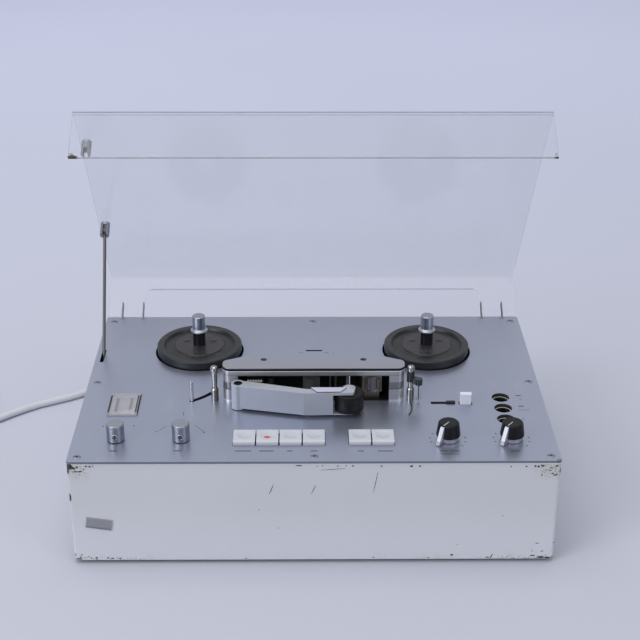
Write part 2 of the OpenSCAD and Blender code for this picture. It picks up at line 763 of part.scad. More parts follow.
// Guide posts outside the housing, a roller and lifters inside
module tape_guides() color("silver") translate([0, 0, top]) {
  translate(left_post_at) guide_post(false, -35);
  translate(post_at) guide_post(true, 0);
  rod([-outer_head_x + 13.5, -28], 7, 0, 21);
  for (x = [capstan_at[0] - 16.5, capstan_at[0] - 11.5]) {
    rod([x, -27], 2, 0, 22);
    rod([x, -27], 3.4, 22, 1.2);
  }
}

// Pressure arm: boss, thick bar and a fork for the roller, with the axle riveted in
module pressure_arm() color("silver") translate([0, 0, top]) {
  fork_x = roller_at[0] - roller_d / 2 - 1.6;
  near = roller_at[1] - 9.4;
  far = roller_at[1] + 0.5;
  bar = [arm_pivot + [6, 4], [fork_x - 23, far - 3], [fork_x, far], [fork_x, near],
    [fork_x - 17, near - 0.4], [fork_x - 26, near - 0.2], arm_pivot - [3, 5.1]];
  flange = [[fork_x - 4, far], [roller_at[0] + 4.5, far], [roller_at[0] + 4.5, near + 3],
    [roller_at[0] + 1.5, near], [fork_x - 4, near]];
  difference() {
    union() {
      translate([0, 0, arm_bottom + arm_lift]) linear_extrude(arm_top - arm_bottom - arm_lift) polygon(bar);
      rod(arm_pivot, boss_d, arm_bottom, arm_top - arm_bottom);
      for (f = [[arm_bottom + arm_lift, arm_flange - arm_lift], [arm_top - arm_flange, arm_flange]])
        translate([0, 0, f[0]]) linear_extrude(f[1]) {
          polygon(flange);
          translate([roller_at[0] + 1.5, near + 3]) circle(r = 3);
          translate(roller_at) circle(d = 11);
        }
      rod(roller_at, axle_d, arm_bottom + arm_lift, arm_top - arm_bottom - arm_lift);
      rod(roller_at, 6, arm_top, 1);
    }
    rod(arm_pivot, arm_hole_d + 2 * running, -e, arm_top + 2 * e);
    translate([roller_at[0] - 4, roller_at[1] - 0.4, arm_top + 0.5]) cube([8, 0.8, 1]);
  }
}

// Rubber roller on the arm's axle
module pressure_roller() color("#1c1c1e")
  translate([roller_at[0], roller_at[1], top + arm_bottom + arm_flange + roller_gap]) rotate_extrude()
    polygon([[axle_d / 2 + running, -roller_gap / 2], [5, -roller_gap / 2], [5, 0], [roller_d / 2 - 0.8, 0],
      [roller_d / 2, 0.8], [roller_d / 2, roller_h - 0.8], [roller_d / 2 - 0.8, roller_h], [5, roller_h],
      [5, roller_h + roller_gap / 2], [axle_d / 2 + running, roller_h + roller_gap / 2]]);

// Hollow post in the deck on which the arm turns
module arm_post() color("dimgray") difference() {
  union() {
    rod(arm_pivot, arm_hole_d, deck_z - 6, deck_t + 6 + arm_top - 2);
    rod(arm_pivot, arm_hole_d + 6, deck_z - 5, 5);
  }
  rod(arm_pivot, 4, top, arm_top);
}

// Arm under the deck with the feeler pin that stands through the curved slot
module feeler_arm() color("gainsboro") translate([feeler_pivot[0], feeler_pivot[1], 0])
  rotate([0, 0, feeler_rest]) {
    difference() {
      union() {
        translate([0, 0, chassis_top + clear]) cylinder(d = feeler_stud_d + 6, h = 8);
        span([0, -4, feeler_z], [feeler_r, 4, feeler_z + 2]);
        rod([feeler_r, 0], 8, feeler_z, 2);
      }
      translate([0, 0, chassis_top]) cylinder(d = feeler_stud_d + 2 * running, h = 12);
    }
    rod([feeler_r, 0], feeler_pin_d, feeler_z, top + 20 - feeler_z);
  }

// Collar on the right guide post with a short arm and a thin feeler wire
module switch_arm() color("#222226") translate([post_at[0], post_at[1], top]) difference() {
  union() {
    translate([0, 0, collar_z]) cylinder(d = collar_d, h = collar_h);
    rotate([0, 0, -32]) {
      span([collar_d / 2 - 0.2, -2.6, collar_z - 1.2], [switch_reach, 2.6, collar_z + 4.6]);
      rod([switch_reach, 0], 6.4, collar_z - 1.2, 5.8);
      rod([switch_reach, 0], 1, 1, collar_z);
    }
  }
  translate([0, 0, collar_z - e]) cylinder(d = collar_neck_d + 2 * running, h = collar_h + 2 * e);
}

// Controls

// One transport key: cap with a round front edge and a finger scoop towards the rear, skirt and stem
module transport_key(x) color("white") translate([x, key_y, top]) {
  difference() {
    round_block(key_w, key_l, key_h + key_skirt, 0.8, -key_skirt);
    translate([0, scoop_y, key_h + scoop_r - scoop_depth]) sphere(scoop_r, $fn = 180);
    difference() {
      span([-key_w, -key_l / 2 - e, key_h - key_round], [key_w, -key_l / 2 + key_round, key_h + e]);
      translate([-2 * key_w, -key_l / 2 + key_round, key_h - key_round]) rotate([0, 90, 0])
        cylinder(r = key_round + 0.02, h = 4 * key_w);
    }
  }
  span([-key_stem / 2, -key_stem / 2, -key_skirt - deck_t - 22], [key_stem / 2, key_stem / 2, -key_skirt]);
}
module key_1() transport_key(key_x[0]);
module key_2() transport_key(key_x[1]);
module key_3() transport_key(key_x[2]);
module key_4() transport_key(key_x[3]);
module key_5() transport_key(key_x[4]);
module key_6() transport_key(key_x[5]);

// Guide plate for the key stems, hung from the deck by its two ends
module key_frame() color("darkgray") translate([0, key_y, 0]) difference() {
  union() {
    span([-key_frame_half, -13, key_frame_z], [key_frame_half, 13, key_frame_z + key_frame_t]);
    for (side = [-1, 1]) translate([side * (key_frame_half - 1), 0, key_frame_z])
      span([-1, -13, 0], [1, 13, deck_z - key_frame_z]);
  }
  for (x = key_x) translate([x, 0, key_frame_z - e]) linear_extrude(key_frame_t + 2 * e)
    square(key_stem + 2 * clear, center = true);
}

// Upright pause key in its own hole, with a foot below the deck
module pause_key() color("white") translate([pause_at[0], pause_at[1], top]) {
  foot_z = -deck_t - clear - pause_foot;
  round_block(pause_w, pause_l, pause_h - foot_z, 1.2, foot_z);
  round_block(pause_w + 4, pause_l + 8, pause_foot, 1, foot_z);
}

// Flat lever in the long slot, on a carriage that slides under the deck
module slide_lever() color("#303034") translate([lever_at[0], lever_at[1], top]) {
  span([-lever_w / 2, -lever_t / 2, -deck_t - 1], [lever_w / 2, lever_t / 2, lever_h]);
  span([-lever_w, -5, -deck_t - 2.2], [lever_w / 2, 5, -deck_t - clear]);
}

// Plain turned knob with a grub-screw hole, on its shaft
module selector(x) color("silver") translate([x, knob_y, top]) difference() {
  rotate_extrude() polygon([[0, -deck_t - 14], [shaft_d / 2, -deck_t - 14], [shaft_d / 2, knob_lift],
    [selector_d / 2 - 0.5, knob_lift], [selector_d / 2, knob_lift + 0.5],
    [selector_d / 2, selector_h - 0.7], [selector_d / 2 - 0.7, selector_h], [0, selector_h]]);
  translate([0, -selector_d / 2 + 1.8, 4.4]) rotate([90, 0, 0]) cylinder(d = 3, h = selector_d);
}
module left_selector() selector(selector_x[0]);
module right_selector() selector(selector_x[1]);

// Level knob: ringed foot, black body and a pointer fin, on its shaft
module level_knob(x) color("#2a2a2c") translate([x, knob_y, top]) {
  r = level_d / 2;
  rotate_extrude() polygon([[0, -deck_t - 14], [shaft_d / 2, -deck_t - 14], [shaft_d / 2, knob_lift],
    [r - 0.8, knob_lift], [r - 0.8, 4], [r, 4.6], [r, 5.6], [r - 1.4, level_h - 1],
    [r - 2.4, level_h], [0, level_h]]);
  rotate([0, 0, pointer_angle]) translate([0, 1.7, 0]) rotate([90, 0, 0]) linear_extrude(3.4)
    polygon([[r - 4, knob_lift], [r + 6.2, knob_lift], [r + 6.2, 1.5], [r, level_h - 0.9], [r - 4, level_h - 0.9]]);
}
module left_level_knob() level_knob(level_x[0]);
module right_level_knob() level_knob(level_x[1]);

// Two rotary switches and two potentiometers under the deck
module control_bodies() color("dimgray") for (x = concat(selector_x, level_x)) difference() {
  rod([x, knob_y], control_d, deck_z - control_h, control_h);
  rod([x, knob_y], shaft_d + 2 * running, deck_z - control_h + 3, control_h);
}

// Meter box under the deck with its scale and the needle's pivot
module meter_case() color("ivory") translate([meter_at[0], meter_at[1], deck_z]) {
  difference() {
    translate([0, 0, -meter_depth]) linear_extrude(meter_depth)
      square([meter_box_w, meter_box_l], center = true);
    translate([0, 0, -3]) linear_extrude(4) square([meter_w + 2 * clear, meter_l + 2 * clear], center = true);
    translate([0, 0, -scale_down]) linear_extrude(scale_down)
      square([meter_w - 2 * meter_ledge, meter_l - 2 * meter_ledge], center = true);
  }
  rod([0, -meter_l / 2 + 6], 2, -scale_down, 3);
}

// Clear cover, a shallow upturned tray on the meter's ledge
module meter_window() color("lightcyan", 0.5) translate([meter_at[0], meter_at[1], deck_z]) difference() {
  h = 3 + deck_t + meter_rise;
  translate([0, 0, -3]) linear_extrude(h) square([meter_w, meter_l], center = true);
  translate([0, 0, -3 - e]) linear_extrude(h + e - 1.4)
    square([meter_w - 2 * meter_ledge, meter_l - 2 * meter_ledge], center = true);
}

// Thin needle on the meter's pivot, at the low end of its swing
module meter_needle() color("#303030")
  translate([meter_at[0], meter_at[1] - meter_l / 2 + 6, deck_z - scale_down + 1]) rotate([0, 0, needle_rest])
    difference() {
      union() {
        cylinder(d = 4, h = 1);
        span([-0.35, 0, 0.2], [0.35, needle_len, 0.8]);
      }
      translate([0, 0, -e]) cylinder(d = 2 + 2 * running, h = 1 + 2 * e);
    }

// Three round sockets with five pin holes each
module socket_bodies() color("#3a3a3e") for (p = socket_at) translate([p[0], p[1], deck_z]) difference() {
  translate([0, 0, -socket_depth - 5]) cylinder(d = socket_d + 2 * socket_wall, h = socket_depth + 5);
  translate([0, 0, -socket_depth]) cylinder(d = socket_d, h = socket_depth + e);
  for (a = [0 : 45 : 180]) rotate([0, 0, a]) translate([4, 0, -socket_depth - 4])
    cylinder(d = 1.5, h = 6);
}

// Electrics
transformer_w = 44;
transformer_l = 60;
transformer_h = 40;
winding_in = 8;

// Mains transformer on the base between the reel motors, with its winding
module transformer() color("saddlebrown")
  translate([0, case_d / 2 - base_flange_w - slack - transformer_l / 2, base_z + base_t])
    for (in = [0, winding_in]) translate([0, 0, (transformer_h + in) / 2])
      cube([transformer_w - 2 * in, transformer_l - 2 * in, transformer_h + in], center = true);

board_w = 140;
board_l = 90;
board_t = 1.6;
spacer_h = 8;
spacer_d = 6;
can_d = 14;
can_h = 22;

// Amplifier board on four spacers, with a row of cans and a row of coils
module amplifier_board() color("darkgreen") translate([-103, -62, base_z + base_t]) {
  translate([0, 0, spacer_h]) linear_extrude(board_t) square([board_w, board_l], center = true);
  for (x = [-1, 1], y = [-1, 1])
    rod([x * (board_w / 2 - spacer_d), y * (board_l / 2 - spacer_d)], spacer_d, 0, spacer_h);
  for (i = [-2 : 2]) rod([i * board_w / 5.6, 0], can_d, spacer_h + board_t, can_h);
  for (i = [-2 : 2]) translate([i * board_w / 7, -board_l / 3, spacer_h + board_t])
    linear_extrude(can_h / 2) square([8, 10], center = true);
}

// Small bare plate on the front
module front_plate() color("silver") translate([-case_w / 2 + 24, -case_d / 2, foot_h + 38.2])
  rotate([90, 9, 0]) linear_extrude(0.8) square([22.6, 10.4], center = true);

// Mains lead

// Tapered strain relief in the rear wall
module strain_relief() color("dimgray")
  translate([relief_at[0], case_d / 2, relief_at[1]]) rotate([-90, 0, 0]) rotate_extrude()
    polygon([[0, -4], [relief_d / 2, -4], [relief_d / 2, -case_wall], [relief_d / 2 - 1, -case_wall],
      [relief_d / 2 - 1, 0], [relief_d / 2 + 1, 0], [relief_d / 2 + 1, 3],
      [relief_d / 2 - 1, 5], [cord_d / 2 + 0.8, relief_len], [0, relief_len]]);

// Sweeps a round lead along points
function unit(v) = v / norm(v);
function tangents(p, first, last) = [for (i = [0 : len(p) - 1])
  i == 0 ? first : i == len(p) - 1 ? last : unit(p[i + 1] - p[i - 1])];
function ring(p, t, r, sides) = let (side = unit(cross(t, [0, 0, 1])), up = cross(side, t))
  [for (k = [0 : sides - 1]) let (a = (k + (sides % 4 == 0 ? 0.5 : 0)) * 360 / sides)
    p + r * cos(a) * side + r * sin(a) * up];

// One closed tube with triangular faces and flat ends
module tube(p, t, r, sides) {
  n = len(p);
  polyhedron(
    points = [for (i = [0 : n - 1]) each ring(p[i], t[i], r, sides)],
    faces = concat(
      [for (i = [0 : n - 2], k = [0 : sides - 1]) let (a = i * sides + k, b = i * sides + (k + 1) % sides)
        each [[a, b, b + sides], [a, b + sides, a + sides]]],
      [for (k = [1 : sides - 2]) [0, k + 1, k]],
      [for (k = [1 : sides - 2]) let (z = (n - 1) * sides) [z, z + k, z + k + 1]]));
}

// Free stretch: a smooth curve through the hand-chosen points, from the relief to the coil
coil_dir = [sin(coil_entry), -cos(coil_entry), 0];
coil_in = [coil_at[0] + coil_r * cos(coil_entry), coil_at[1] + coil_r * sin(coil_entry), coil_floor];
coil_out = coil_in + [0, 0, layer_h];
lead_end = coil_in - lead_in * coil_dir;
route = concat([[relief_at[0], relief_end, relief_at[1]]], lead_points, [lead_end]);
function bend(a, b, c, d, u) = 0.5 * (2 * b + (c - a) * u + (2 * a - 5 * b + 4 * c - d) * u * u
  + (3 * b - a - 3 * c + d) * u * u * u);
lead = concat([for (i = [0 : len(route) - 2], k = [0 : lead_smooth - 1])
  bend(route[max(i - 1, 0)], route[i], route[i + 1], route[min(i + 2, len(route) - 1)], k / lead_smooth)],
  [lead_end]);
module mains_cord() color("gray")
  tube(lead, tangents(lead, [0, 1, 0], coil_dir), cord_d / 2, cord_sides);

// Put-away coil: spirals in on the table, climbs in the half turn where it reverses, spirals out on top
function climb(s) = let (u = max(0, min(1, (s - coil_loops / 2 + 0.25) / 0.5))) u * u * (3 - 2 * u);
function coil_point(s) = let (r = coil_r - coil_pitch * (coil_loops / 2 - abs(s - coil_loops / 2)),
    a = coil_entry - 360 * s)
  [coil_at[0] + r * cos(a), coil_at[1] + r * sin(a), coil_floor + layer_h * climb(s)];
coil_turns = [for (i = [0 : coil_loops * coil_rings]) coil_point(i / coil_rings)];
coil_end = coil_out + tail_len * coil_dir;
coil_path = concat([lead_end], coil_turns, [coil_end]);
coil_gap = min([for (i = [0 : len(coil_turns) - 1], j = [i + coil_rings / 2 : len(coil_turns) - 1])
  norm(coil_turns[i] - coil_turns[j])]) - cord_d;
function run(p) = [for (i = [1 : len(p) - 1]) norm(p[i] - p[i - 1])] * [for (i = [1 : len(p) - 1]) 1];
echo(coil_least_gap = coil_gap, lead_length = run(lead), coil_length = run(coil_path));
module cord_coil() color("gray")
  tube(coil_path, tangents(coil_path, coil_dir, coil_dir), cord_d / 2, coil_sides);

// Two-pin plug that lies beside the coil
module plug() color("dimgray") translate(coil_end) rotate([0, 0, coil_entry - 90]) {
  rotate([0, 90, 0]) cylinder(d1 = cord_d + 3, d2 = cord_d + 8, h = plug_neck);
  translate([plug_neck, 0, 0]) rotate([90, 0, 90]) linear_extrude(plug_l)
    round_rect(plug_w, 2 * coil_out[2], 6);
  for (side = [-1, 1]) translate([plug_neck + plug_l, side * plug_pin_gap / 2, 0]) rotate([0, 90, 0])
    cylinder(d = plug_pin_d, h = plug_pin_l);
}

case_shell();
base_cover();
feet();
case_screws();
deck_plate();
chassis();
lid_sheet();
hinge_blades();
hinge_pins();
hinge_blocks();
lid_studs();
prop_rod();
left_reel_table();
right_reel_table();
left_cap();
right_cap();
reel_motors();
capstan();
flywheel();
capstan_bearing();
capstan_motor();
motor_pulley();
drive_belt();
head_housing();
head_cover();
cover_screws();
erase_head();
record_head();
play_head();
tape_guides();
pressure_arm();
pressure_roller();
arm_post();
feeler_arm();
switch_arm();
key_1();
key_2();
key_3();
key_4();
key_5();
key_6();
key_frame();
pause_key();
slide_lever();
left_selector();
right_selector();
left_level_knob();
right_level_knob();
control_bodies();
meter_case();
meter_window();
meter_needle();
socket_bodies();
transformer();
amplifier_board();
front_plate();
strain_relief();
mains_cord();
cord_coil();
plug();
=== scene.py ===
import bpy
import numpy as np
from mathutils import Matrix


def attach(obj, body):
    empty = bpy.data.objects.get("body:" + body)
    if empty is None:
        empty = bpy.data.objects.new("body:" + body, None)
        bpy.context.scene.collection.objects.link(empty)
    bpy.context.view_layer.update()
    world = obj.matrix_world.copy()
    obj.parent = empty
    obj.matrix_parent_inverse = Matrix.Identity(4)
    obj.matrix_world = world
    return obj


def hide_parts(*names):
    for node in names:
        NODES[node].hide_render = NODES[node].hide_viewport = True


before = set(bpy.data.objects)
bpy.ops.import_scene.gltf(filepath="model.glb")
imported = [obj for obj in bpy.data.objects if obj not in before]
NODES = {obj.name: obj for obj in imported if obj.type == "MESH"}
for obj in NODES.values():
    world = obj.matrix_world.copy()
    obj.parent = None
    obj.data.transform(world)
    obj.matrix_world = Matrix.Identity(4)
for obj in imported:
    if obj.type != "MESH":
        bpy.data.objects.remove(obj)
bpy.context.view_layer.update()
scene = bpy.context.scene

MM = 0.001
CAMERA_AT = (-7.66, -1138.34, 725.68)
CAMERA_TURN = (26.029, 0.684, 0.2046)   # pitch, yaw and roll in degrees
FOCAL, PICTURE = 1384.19, 640           # focal length and picture width in pixels
SENSOR = 36                             # millimetres
LAMPS_FACE = np.array([0, 0, 0.08])     # metres
TOP = 105.0                             # deck surface above the table
KNOB_Y = -103.0                         # the row of selectors and level knobs
SELECTORS, LEVELS = (-172.0, -115.5), (116.5, 172.0)
KEYS = (-60.6, -40.5, -20.4, -0.3, 39.6, 59.7)
SCOOP_Y = -101.2                        # the middle of the keys' finger scoops
REELS, REEL_Y = (-110.5, 110.5), 65.0
BAY = 68.6                              # half the width of the head bay
PLATE, PLATE_TURN = (-186.0, 42.2), np.radians(9)
METER = (-171.7, -42.7)
SOCKETS = ((171.4, -30.1), (171.4, -49.7), (171.4, -69.3))
ARM_PIVOT, ROLLER, POST = (-68.0, -47.7), (31.5, -56.5), (88.1, -33.2)
HINGE_Y, HINGE_Z = 138.5, 101.0         # the lid's hinge line
LID_OPEN = np.radians(55.4)             # how far the lid stands open
STUD_X = -203.5                         # the prop's stud and the clip on the lid
POINTER = np.radians(231.5)             # where the level knobs point
SIDES = ("left", "right")
BUMP_DEPTH = 0.0002                     # metres


def linear(colour, share=1.0):
    """The linear colour of an 8-bit display colour, times share; a darker or lighter one stays under 0.9."""
    c = np.array(colour) / 255
    parts = np.where(c <= 0.04045, c / 12.92, ((c + 0.055) / 1.055) ** 2.4)
    return (*(parts if share == 1 else np.minimum(parts * share, 0.9)).tolist(), 1.0)


def put(name, data):
    """A new object in the scene."""
    obj = bpy.data.objects.new(name, data)
    scene.collection.objects.link(obj)
    return obj


def stand(obj, across, above, back, at):
    """Give an object its three directions and its place, in metres."""
    m = np.eye(4)
    m[:3] = np.column_stack([across, above, back, at])
    obj.matrix_world = Matrix(m.tolist())


# Camera

def place_camera():
    """Camera at the photograph's place: forward from pitch and yaw, then right and up turned by the roll."""
    pitch, yaw, roll = np.radians(CAMERA_TURN)
    forward = np.array([np.sin(yaw) * np.cos(pitch), np.cos(yaw) * np.cos(pitch), -np.sin(pitch)])
    right = np.array([np.cos(yaw), -np.sin(yaw), 0])
    up = np.cross(right, forward)
    across = np.cos(roll) * right + np.sin(roll) * up
    above = -np.sin(roll) * right + np.cos(roll) * up
    data = bpy.data.cameras.new("camera")
    data.sensor_fit = "HORIZONTAL"
    data.sensor_width = SENSOR
    data.lens = SENSOR * FOCAL / PICTURE
    data.clip_end = 50
    scene.camera = put("camera", data)
    stand(scene.camera, across, above, -forward, np.array(CAMERA_AT) * MM)


place_camera()


# Surfaces

def unit(v):
    """Each row of v divided by its length."""
    return v / np.linalg.norm(v, axis=-1, keepdims=True)


def around(n):
    """n even angles of a full turn."""
    return np.linspace(0, 2 * np.pi, n, endpoint=False)


def sheet_faces(nu, nv, round_u, round_v):
    """Four-cornered faces of a grid of nu by nv points, joined end to start where a direction is round."""
    i = np.arange(nu if round_u else nu - 1)[:, None]
    j = np.arange(nv if round_v else nv - 1)[None, :]
    a, b = i * nv + j, i * nv + (j + 1) % nv
    c, d = ((i + 1) % nu) * nv + (j + 1) % nv, ((i + 1) % nu) * nv + j
    return np.stack([a, d, c, b], axis=-1).reshape(-1, 4)


class Build:
    """Points and faces of one piece, in millimetres, gathered patch by patch."""

    def __init__(self):
        self.points, self.faces, self.finish, self.soft, self.n = [], [], [], [], 0

    def add(self, points, faces, finish=0, soft=True):
        p = np.asarray(points, float).reshape(-1, 3)
        self.points.append(p)
        self.faces += [(np.asarray(f) + self.n).tolist() for f in faces]
        self.finish += [finish] * len(faces)
        self.soft += [soft] * len(faces)
        self.n += len(p)
        return self

    def grid(self, g, round_u=False, round_v=False, caps=False, finish=0, soft=True):
        """A grid of points; caps closes the first and the last row with one face each."""
        nu, nv = g.shape[:2]
        faces = list(sheet_faces(nu, nv, round_u, round_v))
        if caps:
            faces += [np.arange(nv), ((nu - 1) * nv + np.arange(nv))[::-1]]
        return self.add(g, faces, finish, soft)

    def slab(self, outline, z0, z1, finish=0):
        """An outline in plan, anticlockwise, carried straight up from z0 to z1 and closed."""
        o = np.asarray(outline, float)
        rows = [np.column_stack([o, np.full(len(o), z)]) for z in (z0, z1)]
        return self.grid(np.stack(rows)[:, ::-1], round_v=True, caps=True, finish=finish, soft=False)

    def lathe(self, profile, at, finish=0, n=48, loop=False):
        """A profile of (radius, height) turned about the upright axis through at; loop joins end to start."""
        p = np.asarray(profile, float)
        a = around(n)[None, :]
        g = np.stack([at[0] + p[:, :1] * np.cos(a), at[1] + p[:, :1] * np.sin(a),
                      at[2] + p[:, 1:2] + 0 * a], axis=-1)
        return self.grid(g[:, ::-1], round_u=loop, round_v=True, caps=not loop, finish=finish)

    def tube(self, path, r, n=12, finish=0, side=(0, 0, 1)):
        """A circle of radius r carried along a path, each ring square to the path."""
        p = np.asarray(path, float)
        t = unit(np.gradient(p, axis=0))
        u = unit(np.cross(t, np.asarray(side, float)))
        v = np.cross(u, t)
        a = around(n)[None, :, None]
        g = p[:, None] + r * (np.cos(a) * u[:, None] + np.sin(a) * v[:, None])
        return self.grid(g, round_v=True, caps=True, finish=finish)

    def piece(self, name, body, slot, *finishes):
        """The mesh as an object at the origin that rides on a body."""
        mesh = bpy.data.meshes.new(name)
        mesh.from_pydata((np.concatenate(self.points) * MM).tolist(), [], self.faces)
        for f in finishes:
            mesh.materials.append(f)
        mesh.polygons.foreach_set("material_index", np.array(self.finish, dtype=np.int32))
        mesh.polygons.foreach_set("use_smooth", np.array(self.soft, dtype=bool))
        mesh.update()
        obj = put(name, mesh)
        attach(obj, body)
        return obj


def disc(at, r, n=24):
    """Outline of a circle, anticlockwise."""
    a = around(n)
    return np.column_stack([at[0] + r * np.cos(a), at[1] + r * np.sin(a)])


def bar(a, b, w):
    """Outline of a straight bar of width w from a to b, anticlockwise."""
    a, b = np.asarray(a, float), np.asarray(b, float)
    d = (b - a) / np.linalg.norm(b - a)
    s = np.array([-d[1], d[0]]) * w / 2
    return np.array([a - s, b - s, b + s, a + s])


def rounded(w, h, k):
    """Rounded box of half sizes w and h: the cosine and the sine, each to the power k with its sign kept."""
    t = around(64)
    c, s = np.cos(t), np.sin(t)
    return np.column_stack([np.sign(c) * np.abs(c) ** k * w, np.sign(s) * np.abs(s) ** k * h])


# Mains lead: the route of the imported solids, raised by the little that a round lead needs to lie on the table

CORD_D = 7.0
LEAD = np.array([
    [-140, 167, 18], [-140, 178, 18], [-141, 190, 16], [-146, 203, 12], [-156, 213, 8], [-170, 217, 5],
    [-184, 214, 3.234], [-197, 206, 3.234], [-212, 193, 3.234], [-229, 177, 3.234], [-247, 161, 3.234],
    [-267, 149, 3.234], [-288, 138, 3.234], [-307, 124, 3.234], [-324, 109, 3.234], [-341, 94, 3.234]])
COIL_AT, COIL_R, COIL_PITCH, COIL_LOOPS, LAYER = np.array([-400.0, 108.0]), 51.0, 7.7, 6, 7.6
COIL_FLOOR, COIL_LIFT, TAIL, ENTRY = 3.031, 1.05, 48.0, np.radians(-45)


def coil_points(s):
    """Coil by turns s: the radius falls for half the turns and grows again, the height steps up in between."""
    r = COIL_R - COIL_PITCH * (COIL_LOOPS / 2 - np.abs(s - COIL_LOOPS / 2))
    u = np.clip((s - COIL_LOOPS / 2 + 0.25) / 0.5, 0, 1)
    a = ENTRY - 2 * np.pi * s
    return np.column_stack([COIL_AT[0] + r * np.cos(a), COIL_AT[1] + r * np.sin(a),
                            COIL_FLOOR + LAYER * u * u * (3 - 2 * u)])


def lead_route():
    """Smooth curve through the lead's points, each span a cubic of its four neighbours; then coil and tail."""
    way = np.array([np.sin(ENTRY), -np.cos(ENTRY), 0])
    turns = coil_points(np.arange(COIL_LOOPS * 24 + 1) / 24)
    start = turns[0] - CORD_D * way
    p = np.vstack([LEAD[:1], LEAD, start, start])
    a, b, c, d = (p[k:len(p) - 3 + k, None] for k in range(4))
    u = np.array([0, 0.5])[None, :, None]
    free = 0.5 * (2 * b + (c - a) * u + (2 * a - 5 * b + 4 * c - d) * u ** 2 + (3 * b - a - 3 * c + d) * u ** 3)
    free = free.reshape(-1, 3)
    lying = np.clip((np.arange(len(free)) - 8) / 4, 0, 1)
    rising = np.clip((np.arange(len(free)) - len(free) + 9) / 8, 0, 1)
    free[:, 2] += 0.45 * lying + (COIL_LIFT - 0.45) * rising * rising * (3 - 2 * rising)
    coil = np.vstack([start, turns, turns[-1] + TAIL * way])
    coil[:, 2] += COIL_LIFT
    return np.vstack([free, coil])


# Finishes

class Val:
    """One socket of a finish. Sums with it add Math nodes."""

    def __init__(self, fin, socket):
        self.fin, self.socket = fin, socket

    def math(self, op, *args):
        return self.fin.node("ShaderNodeMath", {"operation": op}, dict(enumerate(args)))[0]

    def __add__(self, o): return self.math("ADD", self, o)
    def __radd__(self, o): return self.math("ADD", o, self)
    def __sub__(self, o): return self.math("SUBTRACT", self, o)
    def __rsub__(self, o): return self.math("SUBTRACT", o, self)
    def __mul__(self, o): return self.math("MULTIPLY", self, o)
    def __rmul__(self, o): return self.math("MULTIPLY", o, self)
    def __truediv__(self, o): return self.math("DIVIDE", self, o)
    def __pow__(self, o): return self.math("POWER", self, o)
    def __abs__(self): return self.math("ABSOLUTE", self)
    def root(self): return self.math("SQRT", self)
    def low(self, o): return self.math("MINIMUM", self, o)
    def high(self, o): return self.math("MAXIMUM", self, o)
    def wave(self): return self.math("SINE", self)


class Outs:
    """A node's outputs, by name or number."""

    def __init__(self, fin, node):
        self.fin, self.made = fin, node

    def __getitem__(self, key):
        return Val(self.fin, self.made.outputs[key])


class Nodes:
    """A node tree that is filled by expressions."""

    def __init__(self, tree):
        self.tree = tree

    def node(self, kind, settings=None, sockets=None):
        """Any node: its settings come first, then the values or links of its sockets."""
        made = self.tree.nodes.new(kind)
        for key, value in (settings or {}).items():
            setattr(made, key, value)
        for key, value in (sockets or {}).items():
            self.feed(made.inputs[key], value)
        return Outs(self, made)

    def feed(self, socket, value):
        if isinstance(value, Val):
            self.tree.links.new(value.socket, socket)
        else:
            socket.default_value = value

    def mix(self, k, a, b):
        """Colour a where k is 0, colour b where it is 1; three plain numbers are a display colour."""
        a, b = (linear(c) if isinstance(c, tuple) and len(c) == 3 else c for c in (a, b))
        return self.node("ShaderNodeMix", {"data_type": "RGBA"}, {0: k, 6: a, 7: b})[2]

    def step(self, v, a, b):
        """Smooth rise of v from 0 at a to 1 at b."""
        return self.node("ShaderNodeMapRange", {"interpolation_type": "SMOOTHSTEP"},
                         {"Value": v, "From Min": a, "From Max": b})[0]

    def parts(self, v):
        """The three numbers of a vector."""
        return [self.node("ShaderNodeSeparateXYZ", {}, {0: v})[i] for i in range(3)]


